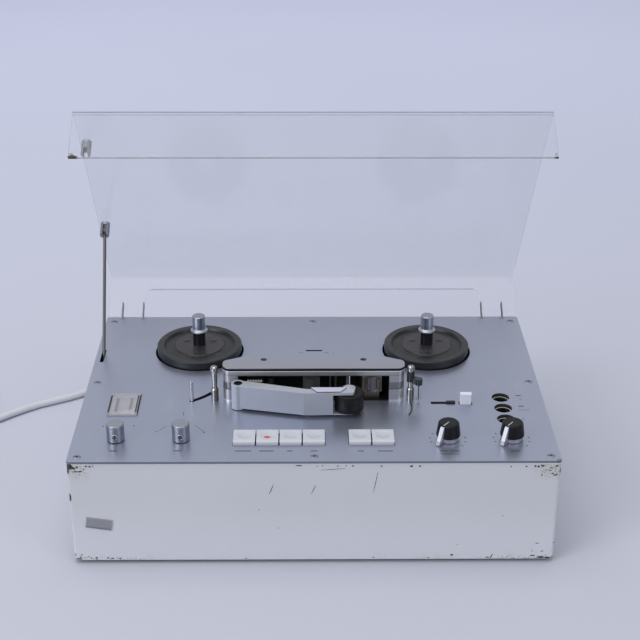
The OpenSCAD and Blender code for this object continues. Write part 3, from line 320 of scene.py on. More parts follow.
class Finish(Nodes):
    """One material: a Principled shader whose sockets are fed by expressions on the object's own coordinates."""

    def __init__(self, name, **constants):
        self.mat = bpy.data.materials.new(name)
        self.mat.use_nodes = True
        super().__init__(self.mat.node_tree)
        self.tree.nodes.clear()
        self.out = self.tree.nodes.new("ShaderNodeOutputMaterial")
        self.shade = self.node("ShaderNodeBsdfPrincipled")
        self.set(**constants)
        self.tree.links.new(self.shade.made.outputs[0], self.out.inputs[0])
        place = self.node("ShaderNodeTexCoord")["Object"]
        self.p = self.node("ShaderNodeVectorMath", {"operation": "SCALE"}, {0: place, "Scale": 1000.0})[0]
        self.x, self.y, self.z = self.parts(self.p)

    def set(self, **values):
        for key, value in values.items():
            self.feed(self.shade.made.inputs[key.replace("_", " ")], value)
        return self

    def noise(self, scale, detail=2.0, rough=0.5, stretch=None):
        """Cloud pattern; scale is in cells per millimetre, stretch scales the axes first."""
        at = self.p
        if stretch:
            at = self.node("ShaderNodeVectorMath", {"operation": "MULTIPLY"}, {0: at, 1: stretch})[0]
        return self.node("ShaderNodeTexNoise", {},
                         {"Vector": at, "Scale": scale, "Detail": detail, "Roughness": rough})[0]

    def cells(self, scale):
        """Distance to the nearest of scattered points, in cells."""
        return self.node("ShaderNodeTexVoronoi", {}, {"Vector": self.p, "Scale": scale})["Distance"]

    def bump(self, height, strength):
        """The finished material, with the height as its relief."""
        relief = {"Strength": strength, "Distance": BUMP_DEPTH, "Height": height}
        return self.set(Normal=self.node("ShaderNodeBump", {}, relief)[0]).mat

    def inside(self, x0, x1, y0, y1, soft=0.4):
        """1 within a rectangle in plan, falling off over soft millimetres."""
        return (self.step(self.x, x0 - soft, x0 + soft) * self.step(self.x, x1 + soft, x1 - soft)
                * self.step(self.y, y0 - soft, y0 + soft) * self.step(self.y, y1 + soft, y1 - soft))

    def away(self, at):
        """Distance in plan from a point."""
        dx, dy = self.x - at[0], self.y - at[1]
        return (dx * dx + dy * dy).root()

    def facing(self):
        """The three parts of the surface's direction."""
        return self.parts(self.node("ShaderNodeNewGeometry")["True Normal"])

    def upward(self):
        return self.facing()[2]

    def level(self):
        """1 on surfaces that lie nearly flat and face up."""
        return self.step(self.upward(), 0.8, 0.95)

    def above(self, a, b):
        """Smooth rise from 0 at the height a over the deck to 1 at the height b."""
        return self.step(self.z, TOP + a, TOP + b)

    def clear(self, colour, rough, solid, least=0.03, rise=0.9):
        """See-through sheet: the gloss grows with the slant's fifth power; solid is the plain shader's share."""
        slant = self.node("ShaderNodeLayerWeight", {}, {"Blend": 0.5})["Facing"]
        through = self.node("ShaderNodeBsdfTransparent", {}, {"Color": colour})[0]
        gloss = self.node("ShaderNodeBsdfGlossy", {}, {"Color": (0.9, 0.9, 0.9, 1), "Roughness": rough})[0]
        seen = self.node("ShaderNodeMixShader", {}, {0: least + rise * slant ** 5.0, 1: through, 2: gloss})[0]
        both = self.node("ShaderNodeMixShader", {}, {0: solid, 1: seen, 2: self.shade[0]})
        self.tree.links.new(both.made.outputs[0], self.out.inputs[0])
        return self.mat


def dab(fin, u, v, at, size, turn=0.0):
    """1 inside an oval dab round at, in the plane of u and v, with its edge broken by fine noise."""
    c, s = np.cos(turn), np.sin(turn)
    du, dv = u - at[0], v - at[1]
    a, b = (du * c + dv * s) / size[0], (dv * c - du * s) / size[1]
    d = (a * a + b * b).root()
    return fin.step(d + (fin.noise(0.9, 3) - 0.5) * 1.1, 1.05, 0.75)


# Chips and scratches on the front: place in x and z, half sizes along and across, turn in radians
FRONT_CHIPS = np.array([
    -207.6, 99.6, 3.4, 3.4, 0,  -209.2, 96, 1.4, 5, 0,  -204, 98.4, 2.2, 1.3, -0.5,  -201, 99.2, 1.2, 1, 0.3,
    -202.5, 94.8, 3.2, 0.55, 0.1,  -198.6, 95, 2.2, 0.7, 0.4,  -195.5, 97, 0.4, 1.4, -0.4,
    -193.2, 100.2, 1.3, 0.8, 0.5,  -190.2, 99.8, 1.5, 0.8, -0.4,  -187.6, 100.4, 0.7, 0.6, 0,
    -13, 100.3, 3, 0.6, 0,  -209.2, 68.5, 1.5, 4.4, 0,  -36.7, 76.8, 0.4, 5.6, -0.36,
    -0.7, 76.4, 0.34, 5.2, -0.4,  52.3, 83.5, 0.32, 11.5, -0.17,  15.8, 96.6, 12, 0.3, 0.08,
    2.5, 99.6, 0.6, 0.5, 0,  6.9, 100.2, 0.8, 0.6, 0,  19.8, 99.9, 0.8, 0.6, 0,  27, 100, 0.7, 0.6, 0,
    32.7, 99.8, 0.9, 0.8, 0,  57, 99.6, 0.9, 0.8, 0,  82.3, 99.5, 1.5, 0.9, 0.3,  89.7, 99.5, 1.2, 0.9, 0,
    167, 98.8, 0.6, 0.7, 0,  180, 99, 1, 0.8, 0.3,  187.6, 99.2, 1.1, 1, 0,  190.4, 98.9, 1.2, 1.1, 0.4,
    193.7, 99.6, 1.7, 1, -0.3,  205.8, 99.4, 1.6, 0.8, 0.3,  209.4, 93.8, 0.8, 2.4, 0,
    201, 97.6, 0.8, 0.8, 0,  200.2, 95, 0.8, 0.9, 0.5,  202.8, 92, 0.9, 0.8, 0,  205.4, 90.4, 2.2, 0.8, 0.1,
    193.8, 90.4, 0.7, 1, 0.3,  -47.5, 56, 0.5, 0.5, 0,  -31, 37, 0.5, 0.5, 0,  163, 49, 0.5, 0.6, 0,
    125, 19, 0.5, 0.5, 0,  -205.8, 5.2, 3.4, 0.8, 0,  -204.4, 7.2, 0.9, 0.8, 0,  -208.6, 9.4, 0.6, 1.8, 0,
    -203, 9.6, 1, 0.7, -0.4,  -197.6, 7.8, 0.6, 0.7, 0,  -195.2, 6.2, 0.7, 0.8, 0,
    -190.4, 6.4, 1.4, 0.8, 0.3,  -180.2, 6.2, 1.2, 0.8, 0,  -176.6, 5.6, 1.4, 0.7, 0,  -170, 5.6, 1.2, 0.7, 0,
    191.6, 7.2, 2.6, 0.7, 0,  199, 5.4, 3.6, 1.2, 0,  204.6, 5, 3, 1, -0.1,  209, 5.2, 1.2, 0.9, 0.3,
    209.4, 20.4, 0.8, 0.8, 0,  194.6, 20.2, 1.6, 0.5, 0,  191, 12.2, 0.5, 1, 0,  199.6, 11.8, 1.5, 0.5, 0.3,
    152, 5.4, 2.4, 0.6, 0,  120.6, 8.2, 1.5, 1.1, 0,  155.4, 6.8, 0.5, 3.2, -0.4,  52, 5.8, 1, 0.6, 0,
    -60, 5.2, 1.2, 0.4, 0,  100, 5.4, 1.5, 0.4, 0,
]).reshape(-1, 5)


def enamel():
    """White stove enamel: faint orange peel, chips and rust on the front, wear along the lower edge, a painted
    highlight along the front's top edge, and painted light that makes it lighter towards the bottom.
    """
    f = Finish("case_white", Roughness=0.42, Coat_Weight=0.25, Coat_Roughness=0.2, Specular_IOR_Level=0.4)
    cloud = f.noise(0.012, 3)
    base = f.mix(cloud, (197, 199, 206), (203, 205, 212))
    low, high = f.step(f.z, 16, 4), f.step(f.z, 98.5, 100.2) * f.step(f.z, 101.6, 100.8)
    corner = f.step(abs(f.x), 185, 209)
    lip = f.step(f.z, 101.0, 101.8)
    grime = f.noise(0.35, 4, 0.65)
    speck = f.step(f.cells(0.32) + (f.noise(0.05, 2) - 0.5) * 0.6, 0.2, 0.1)
    wear = speck * (low * (0.25 + 0.75 * corner) + high * corner).low(1.0) * f.step(grime, 0.42, 0.6)
    fine = f.step(f.cells(0.9), 0.14, 0.08) * f.step(f.noise(0.03, 2), 0.5, 0.62)
    front = f.step(f.y, -135.5, -137)
    chips = 0.0
    for x, z, along, across, turn in FRONT_CHIPS.tolist():
        chips = dab(f, f.x, f.z, (x, z), (along, across), turn) + chips
    # Fields of small pits at the upper corners
    ends = f.step(f.x, 183, 200).high(f.step(f.x, -188, -200) * 0.8)
    field = front * ends * f.step(f.z, 84, 95) * f.step(f.z, 101.2, 100.4)
    pits = field * f.step(f.cells(0.42) + (f.noise(0.3, 2) - 0.5) * 0.3, 0.24, 0.12)
    fine_pits = f.step(f.cells(0.62) + (f.noise(0.4, 2) - 0.5) * 0.5, 0.36, 0.26)
    foot = f.step(f.z, 9, 5) * f.step(abs(f.x), 120, 185) * front
    fine_pits = fine_pits * (field * 0.8).high(foot * 0.75)
    marks = (chips * front).low(1.0).high(wear).high(pits * 0.9).high(fine_pits)
    stain = f.step(f.noise(0.08, 3), 0.5, 0.75) * (low * 0.6 + corner * high * 0.5).low(1.0)
    # Painted light: lighter towards the bottom, standing in for light thrown up from the floor.
    base = f.mix(f.step(f.z, 75, 5), base, (211, 214, 222))
    # Painted highlight: a lighter band along the top edge of the front, where the rounded edge catches the light.
    tone = f.mix(lip * front * 0.7, base, (226, 227, 230))
    tone = f.mix(stain * 0.35, tone, (178, 173, 156))
    tone = f.mix(field * 0.5, tone, (188, 187, 178))
    tone = f.mix(fine * 0.35, tone, (160, 160, 160))
    dark = f.mix(f.step(f.noise(0.7, 3), 0.35, 0.7), (24, 23, 22), (84, 78, 62))
    f.set(Base_Color=f.mix(marks, tone, dark), Roughness=0.36 + 0.35 * marks + 0.06 * cloud)
    return f.bump(f.noise(0.6, 2) * 0.25 - marks, 0.25)


def deck_paint():
    """Blue-grey satin metal coat on the deck: fine grain, soft cloudy wear, painted shade on its edges and the walls
    of its holes, black painted shade inside the head bay.
    """
    f = Finish("deck_blue_grey", Specular_IOR_Level=0.5)
    grain = f.noise(2.2, 2, 0.6)
    cloud = f.noise(0.012, 3)
    tone = f.mix(cloud, (171, 177, 195), (179, 185, 203))
    tone = f.mix(grain * 0.3, tone, (158, 163, 181))
    wear_and_highlight = f.step(f.noise(0.05, 4, 0.6, stretch=(1, 0.35, 1)), 0.58, 0.75)
    tone = f.mix(wear_and_highlight * 0.18, tone, (196, 200, 212))
    tone = f.mix(f.step(f.y, 40, 140) * 0.25, tone, (150, 154, 167))
    # Painted shade: the deck's edges and the walls of its holes are painted darker.
    edge = f.step(f.upward(), 0.6, 0.3)
    tone = f.mix(edge, tone, (126, 130, 142))
    tone = f.mix(dab(f, f.x, f.y, (208, -138.4), (3.6, 1.8), 0.5) * 0.5, tone, (88, 90, 100))
    # Painted shade: black, rough and not metallic inside the head bay, under the cover.
    bay = f.inside(-BAY, BAY, -35.5, 4)
    f.set(Base_Color=f.mix(bay, tone, (12, 12, 13)), Metallic=0.85 * (1 - bay),
          Roughness=0.255 + 0.08 * grain + 0.06 * cloud + 0.04 * wear_and_highlight + 0.3 * bay)
    return f.bump(grain, 0.05)


def lid_sheet_finish():
    """Clear acrylic: glossy at a slant, a painted dark line in the front bend and on the cut edge near the hinge, a
    painted highlight on the right side edges near the hinge, pale sawn edges, dirt in the front corners.
    """
    f = Finish("lid_clear")
    # The sheet's own directions: out from the hinge line along it, and square to it
    c, s = np.cos(LID_OPEN), np.sin(LID_OPEN)
    v, w = f.y - HINGE_Y, f.z - HINGE_Z
    along, off = w * s - v * c, v * s + w * c
    nx, ny, nz = f.facing()
    out, up = nz * s - ny * c, ny * s + nz * c
    down = f.step(up, -0.9, -0.97)
    rear = f.step(along, 24, 12)
    lower = down * f.step(off, 8.0, 6.0) * (1 - rear)
    band = f.step(off, 4.4, 3.4) * f.step(along, 268, 274)
    cut = down * f.step(off, 30, 34) * f.step(off, 46, 42) * rear
    bend = f.step(up, 0.25, 0.45) * f.step(out, 0.1, 0.3)
    sides = f.step(abs(nx), 0.9, 0.97)
    right = f.step(f.x, -10, 10)
    front = f.step(along, 268, 274)
    spot = lambda at, size: dab(f, f.x, off, at, size)
    dirt = front * (spot((-206.5, 5.2), (5.0, 2.6)) + spot((-207.5, 8.5), (2.2, 1.6)) * 0.5
                    + spot((208.4, 4.8), (2.6, 1.0)) + spot((208.2, 9.0), (1.4, 0.9)) * 0.5).low(1.0)
    dust = f.step(f.noise(0.02, 4, 0.7), 0.45, 0.8)
    scuff = f.step(f.noise(0.25, 3, 0.6, stretch=(1, 0.08, 0.08)), 0.66, 0.74)
    tone = f.mix(front, (196, 200, 214), (150, 155, 172))
    # Painted shade: a dark line in the front bend and on the cut edge near the hinge.
    tone = f.mix((bend + cut).low(1.0), f.mix(band, tone, (172, 177, 178)), (92, 96, 116))
    sawn = f.mix(f.step(f.noise(0.05, 3), 0.4, 0.6), (176, 180, 174), (186, 190, 196))
    tone = f.mix(lower, tone, sawn)
    # Side edges: a grey line, with a painted highlight on the right side near the hinge.
    tone = f.mix(sides, tone, f.mix(right * rear, (170, 176, 194), (240, 242, 250)))
    f.set(Base_Color=f.mix(dirt, tone, (66, 60, 40)), Roughness=0.3 + 0.4 * dirt)
    solid = (sides * (0.14 + 0.5 * right * rear) + lower * 0.6 + band * 0.25 + bend * 0.85 + cut * 0.3
             + dirt * 0.92 + dust * 0.02 + scuff * 0.02 + front * 0.08)
    rear_bend = f.step(along, 14, 9) * f.step(off, 36, 42)
    return f.clear((0.965, 0.967, 0.973, 1), 0.12, solid.low(1.0), 0.02, 0.7 - 0.66 * rear_bend)


def window_finish():
    """Clear meter cover: hazy, with painted shade in the gaps down its two long sides and on its side faces, and two
    darker columns behind the haze.
    """
    f = Finish("meter_clear", Roughness=0.25)
    nx, ny, nz = f.facing()
    side = f.step(abs(nx), 0.8, 0.95)
    end = f.step(abs(ny), 0.8, 0.95)
    u, v = f.x - METER[0], f.y - METER[1]
    line = lambda x, outer, inner: f.step(abs(u - x), outer, inner)
    gap = line(-12.7, 1.0, 0.7).high(line(11.5, 0.7, 0.45)).high(line(13.2, 0.6, 0.4))
    length = f.step(abs(v), 16.2, 15.4)
    left, right = line(-6.3, 1.6, 0.9) * f.step(v, -15, -12), line(6.2, 1.5, 0.9) * f.step(v, -11, -9)
    column = left.high(right) * f.step(v, 13, 9)
    inner = f.step(abs(u), 9.2, 8.6) * f.step(abs(v), 13.6, 12.6)
    haze = 0.3 + 0.1 * f.noise(0.08, 3) + 0.15 * column
    tone = f.mix(f.noise(0.3, 2), (206, 206, 218), (216, 216, 226))
    tone = f.mix(inner * 0.35, tone, (176, 175, 182))
    tone = f.mix(column * 0.8, tone, (128, 128, 136))
    # Painted shade: near black in the gaps along the long sides and on the side faces.
    gap = (gap * length).high(side)
    f.set(Base_Color=f.mix(gap, f.mix(end * 0.6, tone, (150, 152, 160)), (20, 20, 27)))
    return f.clear((0.97, 0.97, 0.97, 1), 0.1, (gap * 0.9 + end * 0.5 + haze).low(1.0))


def metal(name, colour, rough=0.3, brushed=(1, 1, 1)):
    """Metal with fine drawn lines along one direction and cloudy wear in its gloss."""
    f = Finish(name, Metallic=1.0)
    lines = f.noise(1.6, 3, 0.6, stretch=brushed)
    cloud = f.noise(0.05, 3)
    f.set(Base_Color=f.mix(lines * 0.5 + cloud * 0.3, colour, linear(colour, 0.82)),
          Roughness=rough + 0.12 * (cloud - 0.5) + 0.12 * lines)
    return f.bump(lines, 0.05)


def turned(name, colour, at, rough=0.28, top_light=1.0):
    """Turned metal: rings about the upright axis through at; the last argument scales the colour of the faces that
    look up, painted highlight above 1 and painted shade below 1.
    """
    f = Finish(name, Metallic=1.0)
    r = f.away(at)
    rings = (r * 9.0).wave() * 0.25 + f.noise(0.8, 3) * 0.5
    side = f.mix(rings, colour, linear(colour, 0.8))
    # Painted light on the tops: the faces that look up take the colour scaled up or down.
    tone = f.mix(f.level() * 0.7, side, linear(colour, top_light))
    f.set(Base_Color=tone, Roughness=rough + 0.12 * f.noise(0.2, 3))
    return f.bump(rings, 0.04)


def moulded(name, colour, rough=0.45, grain=1.4, depth=0.08, coat=0.0):
    """Moulded plastic or rubber: fine grain, cloudy tone and a trace of handling wear."""
    f = Finish(name, Coat_Weight=coat, Coat_Roughness=0.2)
    fine, cloud = f.noise(grain, 3, 0.6), f.noise(0.06, 3)
    f.set(Base_Color=f.mix(cloud * 0.7 + fine * 0.3, colour, linear(colour, 0.88)),
          Roughness=rough + 0.15 * (cloud - 0.5) + 0.1 * (fine - 0.5))
    return f.bump(fine, depth)


def reel_finish():
    """Black reel table: rubber rim ring and grooved plateau, with dust in the grooves."""
    f = Finish("reel_black", Specular_IOR_Level=0.45)
    r = f.away((REELS[0], REEL_Y)).low(f.away((REELS[1], REEL_Y)))
    rim = f.step(r, 32.2, 33.2)
    groove = (r * 5.2).wave() * 0.5 + 0.5
    flat = f.step(f.upward(), 0.85, 0.95)
    dust = f.step(f.noise(0.12, 4, 0.65), 0.5, 0.75) * flat
    ring = f.step(r, 23.4, 24.6) * f.step(r, 33.4, 32.4)
    tone = f.mix(rim, (44, 43, 47), (34, 35, 40))
    tone = f.mix(ring, tone, (24, 23, 26))
    tone = f.mix(dust * 0.2, tone, (112, 112, 116))
    spindle = f.step(r, 7.2, 6.6) * f.above(7.5, 8)
    tone = f.mix(spindle, tone, (26, 27, 34))
    f.set(Base_Color=tone, Roughness=0.36 + 0.1 * dust - 0.12 * spindle + 0.04 * rim)
    return f.bump(groove * flat * (1 - rim), 0.12)


def housing_finish():
    """Head housing: satin nickel with level drawn lines, a painted highlight on its upper edge and foot, painted
    shade in the tape groove, and black painted shade inside the bay, on the inner walls and under the cover.
    """
    f = Finish("head_silver")
    lines = f.noise(1.2, 3, 0.6, stretch=(0.04, 0.04, 2.2))
    cloud = f.noise(0.04, 3)
    silver = f.mix(lines * 0.5 + cloud * 0.3, (198, 199, 202), (172, 174, 179))
    bay = f.step(abs(f.x), 68.7, 68.4) * f.step(f.y, -36.9, -36.5) * f.above(26.65, 26.5)
    inner = f.step(abs(f.x), 80.4, 80.2) * f.step(f.y, -32.8, -32.4) * f.step(f.y, 3.9, 3.7)
    # Painted shade: black, rough and not metallic inside the bay, on the inner walls and on the top strip under the
    # cover.
    painted_shade = bay.high(inner * f.step(f.upward(), 0.5, 0.3)).high(f.above(31.4, 31.5))
    groove = f.above(12.3, 12.5) * f.above(20.0, 19.8)
    foot = f.above(2.4, 1.6)
    edge = f.above(30.65, 30.85)
    lip = f.above(28.2, 26.8) * f.above(26.5, 26.7)
    # Painted shade in the tape groove.
    tone = f.mix(groove * 0.6, silver, (112, 113, 117))
    tone = f.mix(lip * 0.5, tone, (120, 122, 126))
    # Painted highlight on the upper edge and on the foot.
    tone = f.mix((edge + foot).low(1.0), tone, (232, 233, 236))
    f.set(Base_Color=f.mix(painted_shade, tone, (10, 10, 11)), Metallic=0.8 * (1 - painted_shade.high(edge * 0.8)),
          Roughness=0.3 + 0.12 * lines - 0.08 * edge + 0.4 * painted_shade)
    return f.bump(lines, 0.05)


def cover_finish():
    """Head cover: satin nickel plate with fine lines across it, painted black shade on the step under the plate and
    in the slot.
    """
    f = Finish("head_cover_nickel")
    lines = f.noise(1.6, 3, 0.6, stretch=(0.05, 1.6, 1))
    cloud = f.noise(0.03, 3)
    step = f.above(33.75, 33.65)
    slot = f.inside(-7.1, 7.9, -3.5, -0.9, 0.15)
    rear = f.step(f.y, -32, -6)
    tone = f.mix(lines * 0.4 + cloud * 0.4, f.mix(rear, (179, 178, 188), (175, 181, 198)),
                 f.mix(rear, (166, 166, 176), (163, 168, 186)))
    # Painted shade: black on the step under the plate and in the slot.
    dark = step.high(slot)
    f.set(Base_Color=f.mix(dark, tone, (16, 16, 18)), Metallic=0.85 * (1 - dark),
          Roughness=0.27 + 0.1 * lines + 0.08 * cloud + 0.4 * dark)
    return f.bump(lines, 0.04)


def knob_finish(name, at):
    """Level knob: black moulding with fine side grain, bright turned foot ring and pointer fin."""
    f = Finish(name, Specular_IOR_Level=0.28)
    c, s = np.cos(POINTER), np.sin(POINTER)
    dx, dy = f.x - at[0], f.y - at[1]
    out, side = dx * c + dy * s, abs(dy * c - dx * s)
    ring = f.above(4.45, 4.3)
    # The fin stands outside the black cone, whose radius falls with height
    cone = 10.6 - (f.z - (TOP + 5.6)).high(0.0) * 0.138
    fin = f.step(out, 6.5, 7.0) * f.step(side, 1.82, 1.76) * f.above(16.02, 15.94)
    fin = fin * f.step(f.away(at) - cone, 0.02, 0.1)
    bright = ring.high(fin)
    lines = f.noise(1.4, 3, 0.6, stretch=(1, 1, 0.06))
    scuff = f.step(f.noise(0.3, 4, 0.7), 0.6, 0.75)
    black = f.mix(scuff * 0.2, (9, 9, 16), (46, 46, 56))
    silver = f.mix(lines, (222, 225, 236), (200, 204, 216))
    silver = f.mix(ring, silver, f.mix(lines, (178, 180, 189), (160, 162, 171)))
    f.set(Base_Color=f.mix(bright, black, silver), Metallic=0.6 * bright, Roughness=0.36 + 0.1 * lines)
    return f.bump(lines, 0.08)


def roller_finish():
    """Pressure roller: dull rubber tyre with a polished band, metal hub."""
    f = Finish("roller_rubber", Specular_IOR_Level=0.35)
    r = f.away(ROLLER)
    hub = f.step(r, 5.4, 5.1)
    band = f.step(abs(f.z - (TOP + 13)), 5.5, 4.0) * f.step(r, 12.5, 12.8)
    fine = f.noise(1.6, 3)
    tone = f.mix(fine, (8, 8, 9), (16, 16, 18))
    tone = f.mix(hub, tone, (150, 150, 155))
    f.set(Base_Color=tone, Metallic=hub, Roughness=0.62 - 0.22 * band - 0.25 * hub)
    return f.bump(fine, 0.1)


def socket_finish():
    """Signal sockets: black moulding, lighter on the faces that look up."""
    f = Finish("socket_black")
    fine = f.noise(1.2, 3)
    face = f.level()
    tone = f.mix(fine, (22, 22, 24), (34, 34, 37))
    f.set(Base_Color=f.mix(face * 0.5, tone, (34, 34, 33)), Roughness=0.5 + 0.2 * fine)
    return f.bump(fine, 0.08)


def arm_finish():
    """Pressure arm: die-cast, satin lacquered, its top face lighter, with painted highlights along the top of its
    sides and down the boss's front, and painted shade in the pivot hole.
    """
    f = Finish("arm_silver", Coat_Weight=0.2, Coat_Roughness=0.25)
    grain, cloud = f.noise(0.9, 3, 0.6), f.noise(0.05, 3)
    face = f.level()
    tone = f.mix(grain * 0.4 + cloud * 0.4, (185, 190, 201), (171, 176, 188))
    tone = f.mix(face * 0.4, tone, (206, 208, 216))
    # Painted highlight along the top of the side faces.
    edge = f.above(24.5, 25.1) * (1 - face)
    tone = f.mix(edge * 0.6, tone, (228, 230, 238))
    # Painted highlight down the left front of the boss.
    wear_and_highlight = f.step(f.x, -76.4, -74.8) * f.step(f.x, -71.2, -72.6) * f.step(f.y, -48, -51) * (1 - face)
    tone = f.mix(wear_and_highlight * 0.8, tone, (236, 239, 250))
    pit = f.step(f.cells(0.5), 0.1, 0.04) * f.step(f.noise(0.06, 2), 0.55, 0.65)
    tone = f.mix(pit * 0.5, tone, (96, 98, 106))
    # Painted shade inside the pivot hole.
    hole = f.step(f.away(ARM_PIVOT), 3.96, 3.9)
    f.set(Base_Color=f.mix(hole, tone, (14, 15, 22)), Metallic=(0.55 + 0.1 * face) * (1 - hole),
          Roughness=0.36 + 0.14 * grain)
    return f.bump(grain, 0.06)


def key_finish():
    """White key plastic: slightly yellowed, greyer with painted shade in the finger scoop, along the scoop's front
    rim and down the sides.
    """
    f = Finish("key_white", Roughness=0.35, Coat_Weight=0.2, Coat_Roughness=0.15, Specular_IOR_Level=0.5)
    fine, cloud = f.noise(1.0, 3), f.noise(0.08, 3)
    skirt = f.above(1.2, -0.2)
    scoop = f.above(3.95, 3.3) * f.step(f.upward(), 0.9, 0.97)
    tone = f.mix(cloud, (193, 196, 204), (186, 189, 197))
    # Painted shade in the finger scoop.
    tone = f.mix(scoop * 0.35, tone, (180, 184, 194))
    u = abs(f.x - KEYS[0])
    for at in KEYS[1:]:
        u = u.low(abs(f.x - at))
    v = f.y - SCOOP_Y
    r = (u * u + v * v).root()
    # Painted shade along the front rim of the scoop.
    shade = f.step(r, 4.6, 6.8) * f.step(r, 7.1, 6.9) * f.step(v, -1.5, -4.5) * f.above(2, 2.5)
    tone = f.mix(shade * 0.4, tone, (150, 153, 163))
    tone = f.mix(f.step(f.x, 95, 105), tone, (218, 221, 231))
    # Painted shade low down the sides and below the deck.
    tone = f.mix(skirt * 0.35, tone, (160, 160, 158))
    f.set(Base_Color=tone, Roughness=0.3 + 0.12 * fine)
    return f.bump(fine, 0.05)


def steel_screw():
    """Screws: heads painted with the deck, darker in the slots, blackest in the middle of each deck screw, where
    painted shade stands for the cross recess.
    """
    f = Finish("screw_steel")
    slot = f.level() * f.above(0.32, 0.28) * f.above(-1, 0)
    dx = abs(abs(f.x) - 201.7).low(abs(f.x))
    dy = abs(f.y + 131.7).low(abs(f.y)).low(abs(f.y - 129))
    r = (dx * dx + dy * dy).root()
    # Painted shade: the dark middle of each deck screw stands for its cross recess.
    hole = f.step(r, 1.5, 0.9) * f.above(-1, 0)
    fine = f.noise(1.2, 3)
    tone = f.mix(fine, (158, 163, 180), (132, 136, 150))
    dark = (slot * 0.55).high(hole)
    f.set(Base_Color=f.mix(dark, tone, (22, 22, 25)), Metallic=0.75 * (1 - dark),
          Roughness=0.4 + 0.15 * fine)
    return f.bump(fine, 0.08)


def guide_finish():
    """Guide posts: polished nickel, with a painted dark reflection on the right side, darker on the collar, and
    painted shade inside the head bay.
    """
    f = Finish("guide_nickel", Metallic=1.0)
    bay = f.inside(-BAY, BAY, -36.5, 4)
    fine = f.noise(1.2, 3)
    tone = f.mix(fine, (206, 206, 205), (186, 186, 184))
    # Painted reflection: dark olive on the side that faces right; also darker on the collar below 12 mm.
    dull = f.step(f.facing()[0], -0.2, 0.7) * 0.7 + f.above(12.6, 12.0) * 0.35
    tone = f.mix(dull.low(0.85), tone, (92, 88, 66))
    # Painted shade inside the head bay.
    f.set(Base_Color=f.mix(bay, tone, (112, 108, 100)), Roughness=0.13 + 0.06 * fine + 0.15 * bay)
    return f.bump(fine, 0.03)


def plate_finish():
    """Bare front plate: dull grey metal with drawn lines, painted shade along its lower edge and a bright thin
    border.
    """
    f = Finish("plate_grey", Metallic=0.6)
    c, s = np.cos(PLATE_TURN), np.sin(PLATE_TURN)
    du, dv = f.x - PLATE[0], f.z - PLATE[1]
    u, v = du * c - dv * s, du * s + dv * c
    border = f.step(abs(u), 10.5, 10.8).high(f.step(abs(v), 4.5, 4.8))
    lines = f.noise(1.4, 3, 0.6, stretch=(0.08, 1, 1.6))
    tone = f.mix(lines, (170, 171, 176), (138, 139, 144))
    # Painted shade along the plate's lower edge.
    tone = f.mix(f.step(v, -3.0, -4.6) * 0.6, tone, (66, 66, 70))
    f.set(Base_Color=f.mix(border * 0.7, tone, (176, 177, 182)), Roughness=0.38 + 0.2 * lines)
    return f.bump(lines, 0.08)


def lead_finish():
    """Grey lead jacket: smooth vinyl, dusty, with faint scuffs."""
    f = Finish("cord_grey", Specular_IOR_Level=0.4)
    fine, cloud = f.noise(0.7, 3), f.noise(0.02, 3)
    scuff = f.step(f.noise(0.12, 4, 0.7), 0.62, 0.72)
    tone = f.mix(cloud, (206, 208, 214), (196, 198, 204))
    f.set(Base_Color=f.mix(scuff * 0.3, tone, (128, 128, 130)), Roughness=0.48 + 0.14 * fine)
    return f.bump(fine, 0.06)


def scale_finish():
    """Meter scale card: pale grey, faintly aged, with painted shade towards the box's walls."""
    f = Finish("meter_scale_card", Roughness=0.6)
    wall = f.step(abs(f.x - METER[0]), 6.5, 9.5)
    tone = f.mix(f.noise(0.15, 4), (230, 228, 234), (218, 216, 222))
    # Painted shade towards the box's walls.
    f.set(Base_Color=f.mix(wall * 0.3, tone, (150, 150, 156)))
    return f.bump(f.noise(1.0, 2), 0.03)


def bright_plate():
    """Smooth lilac-white plate with faint drawn lines along it and painted shade on its sides."""
    f = Finish("fork_plate_bright", Coat_Weight=0.3, Coat_Roughness=0.2)
    lines = f.noise(1.4, 3, 0.6, stretch=(0.06, 1.4, 1))
    side = f.step(f.upward(), 0.8, 0.4)
    tone = f.mix(lines, (199, 199, 219), (191, 191, 211))
    # Painted shade on the plate's sides.
    f.set(Base_Color=f.mix(side, tone, (52, 54, 64)), Metallic=0.2, Roughness=0.3 + 0.1 * lines)
    return f.bump(lines, 0.03)


# Finishes that the pieces made below wear too
FIN = {
    "hinge": metal("hinge_steel", (120, 122, 128), 0.4),
    "reel": reel_finish(),
    "shaft": metal("shaft_steel", (206, 207, 210), 0.16, (1, 1, 0.1)),
    "switch": moulded("switch_black", (38, 38, 44), 0.36, coat=0.2),
    "lead": lead_finish(),
    "ink": moulded("ink_grey", (62, 64, 72), 0.6),
    "red": moulded("record_red", (214, 84, 62), 0.42),
    "white_ink": moulded("white_line", (214, 214, 216), 0.5),
    # Painted shade: black for the screen at the back of the head bay and for the sleeves in the sockets.
    "black_felt": moulded("bay_black", (14, 14, 15), 0.8),
    "white_part": moulded("terminal_white", (206, 203, 194), 0.5),
    "amber": metal("head_frame_brass", (158, 146, 118), 0.24),
    "core": metal("head_core", (150, 142, 152), 0.2, (8, 1, 1)),
    # Painted glint: a pale colour stands in for the shine of the sockets' metal ring.
    "rim": moulded("shield_rim", (232, 233, 222), 0.35),
    "card": scale_finish(),
    "tie": moulded("tie_black", (34, 34, 36), 0.5),
    "plate_bright": bright_plate(),
    # The set screw's dark colour, which also stands in for the shade of its hole.
    "grub": moulded("grub_dark", (30, 36, 28), 0.4),
}

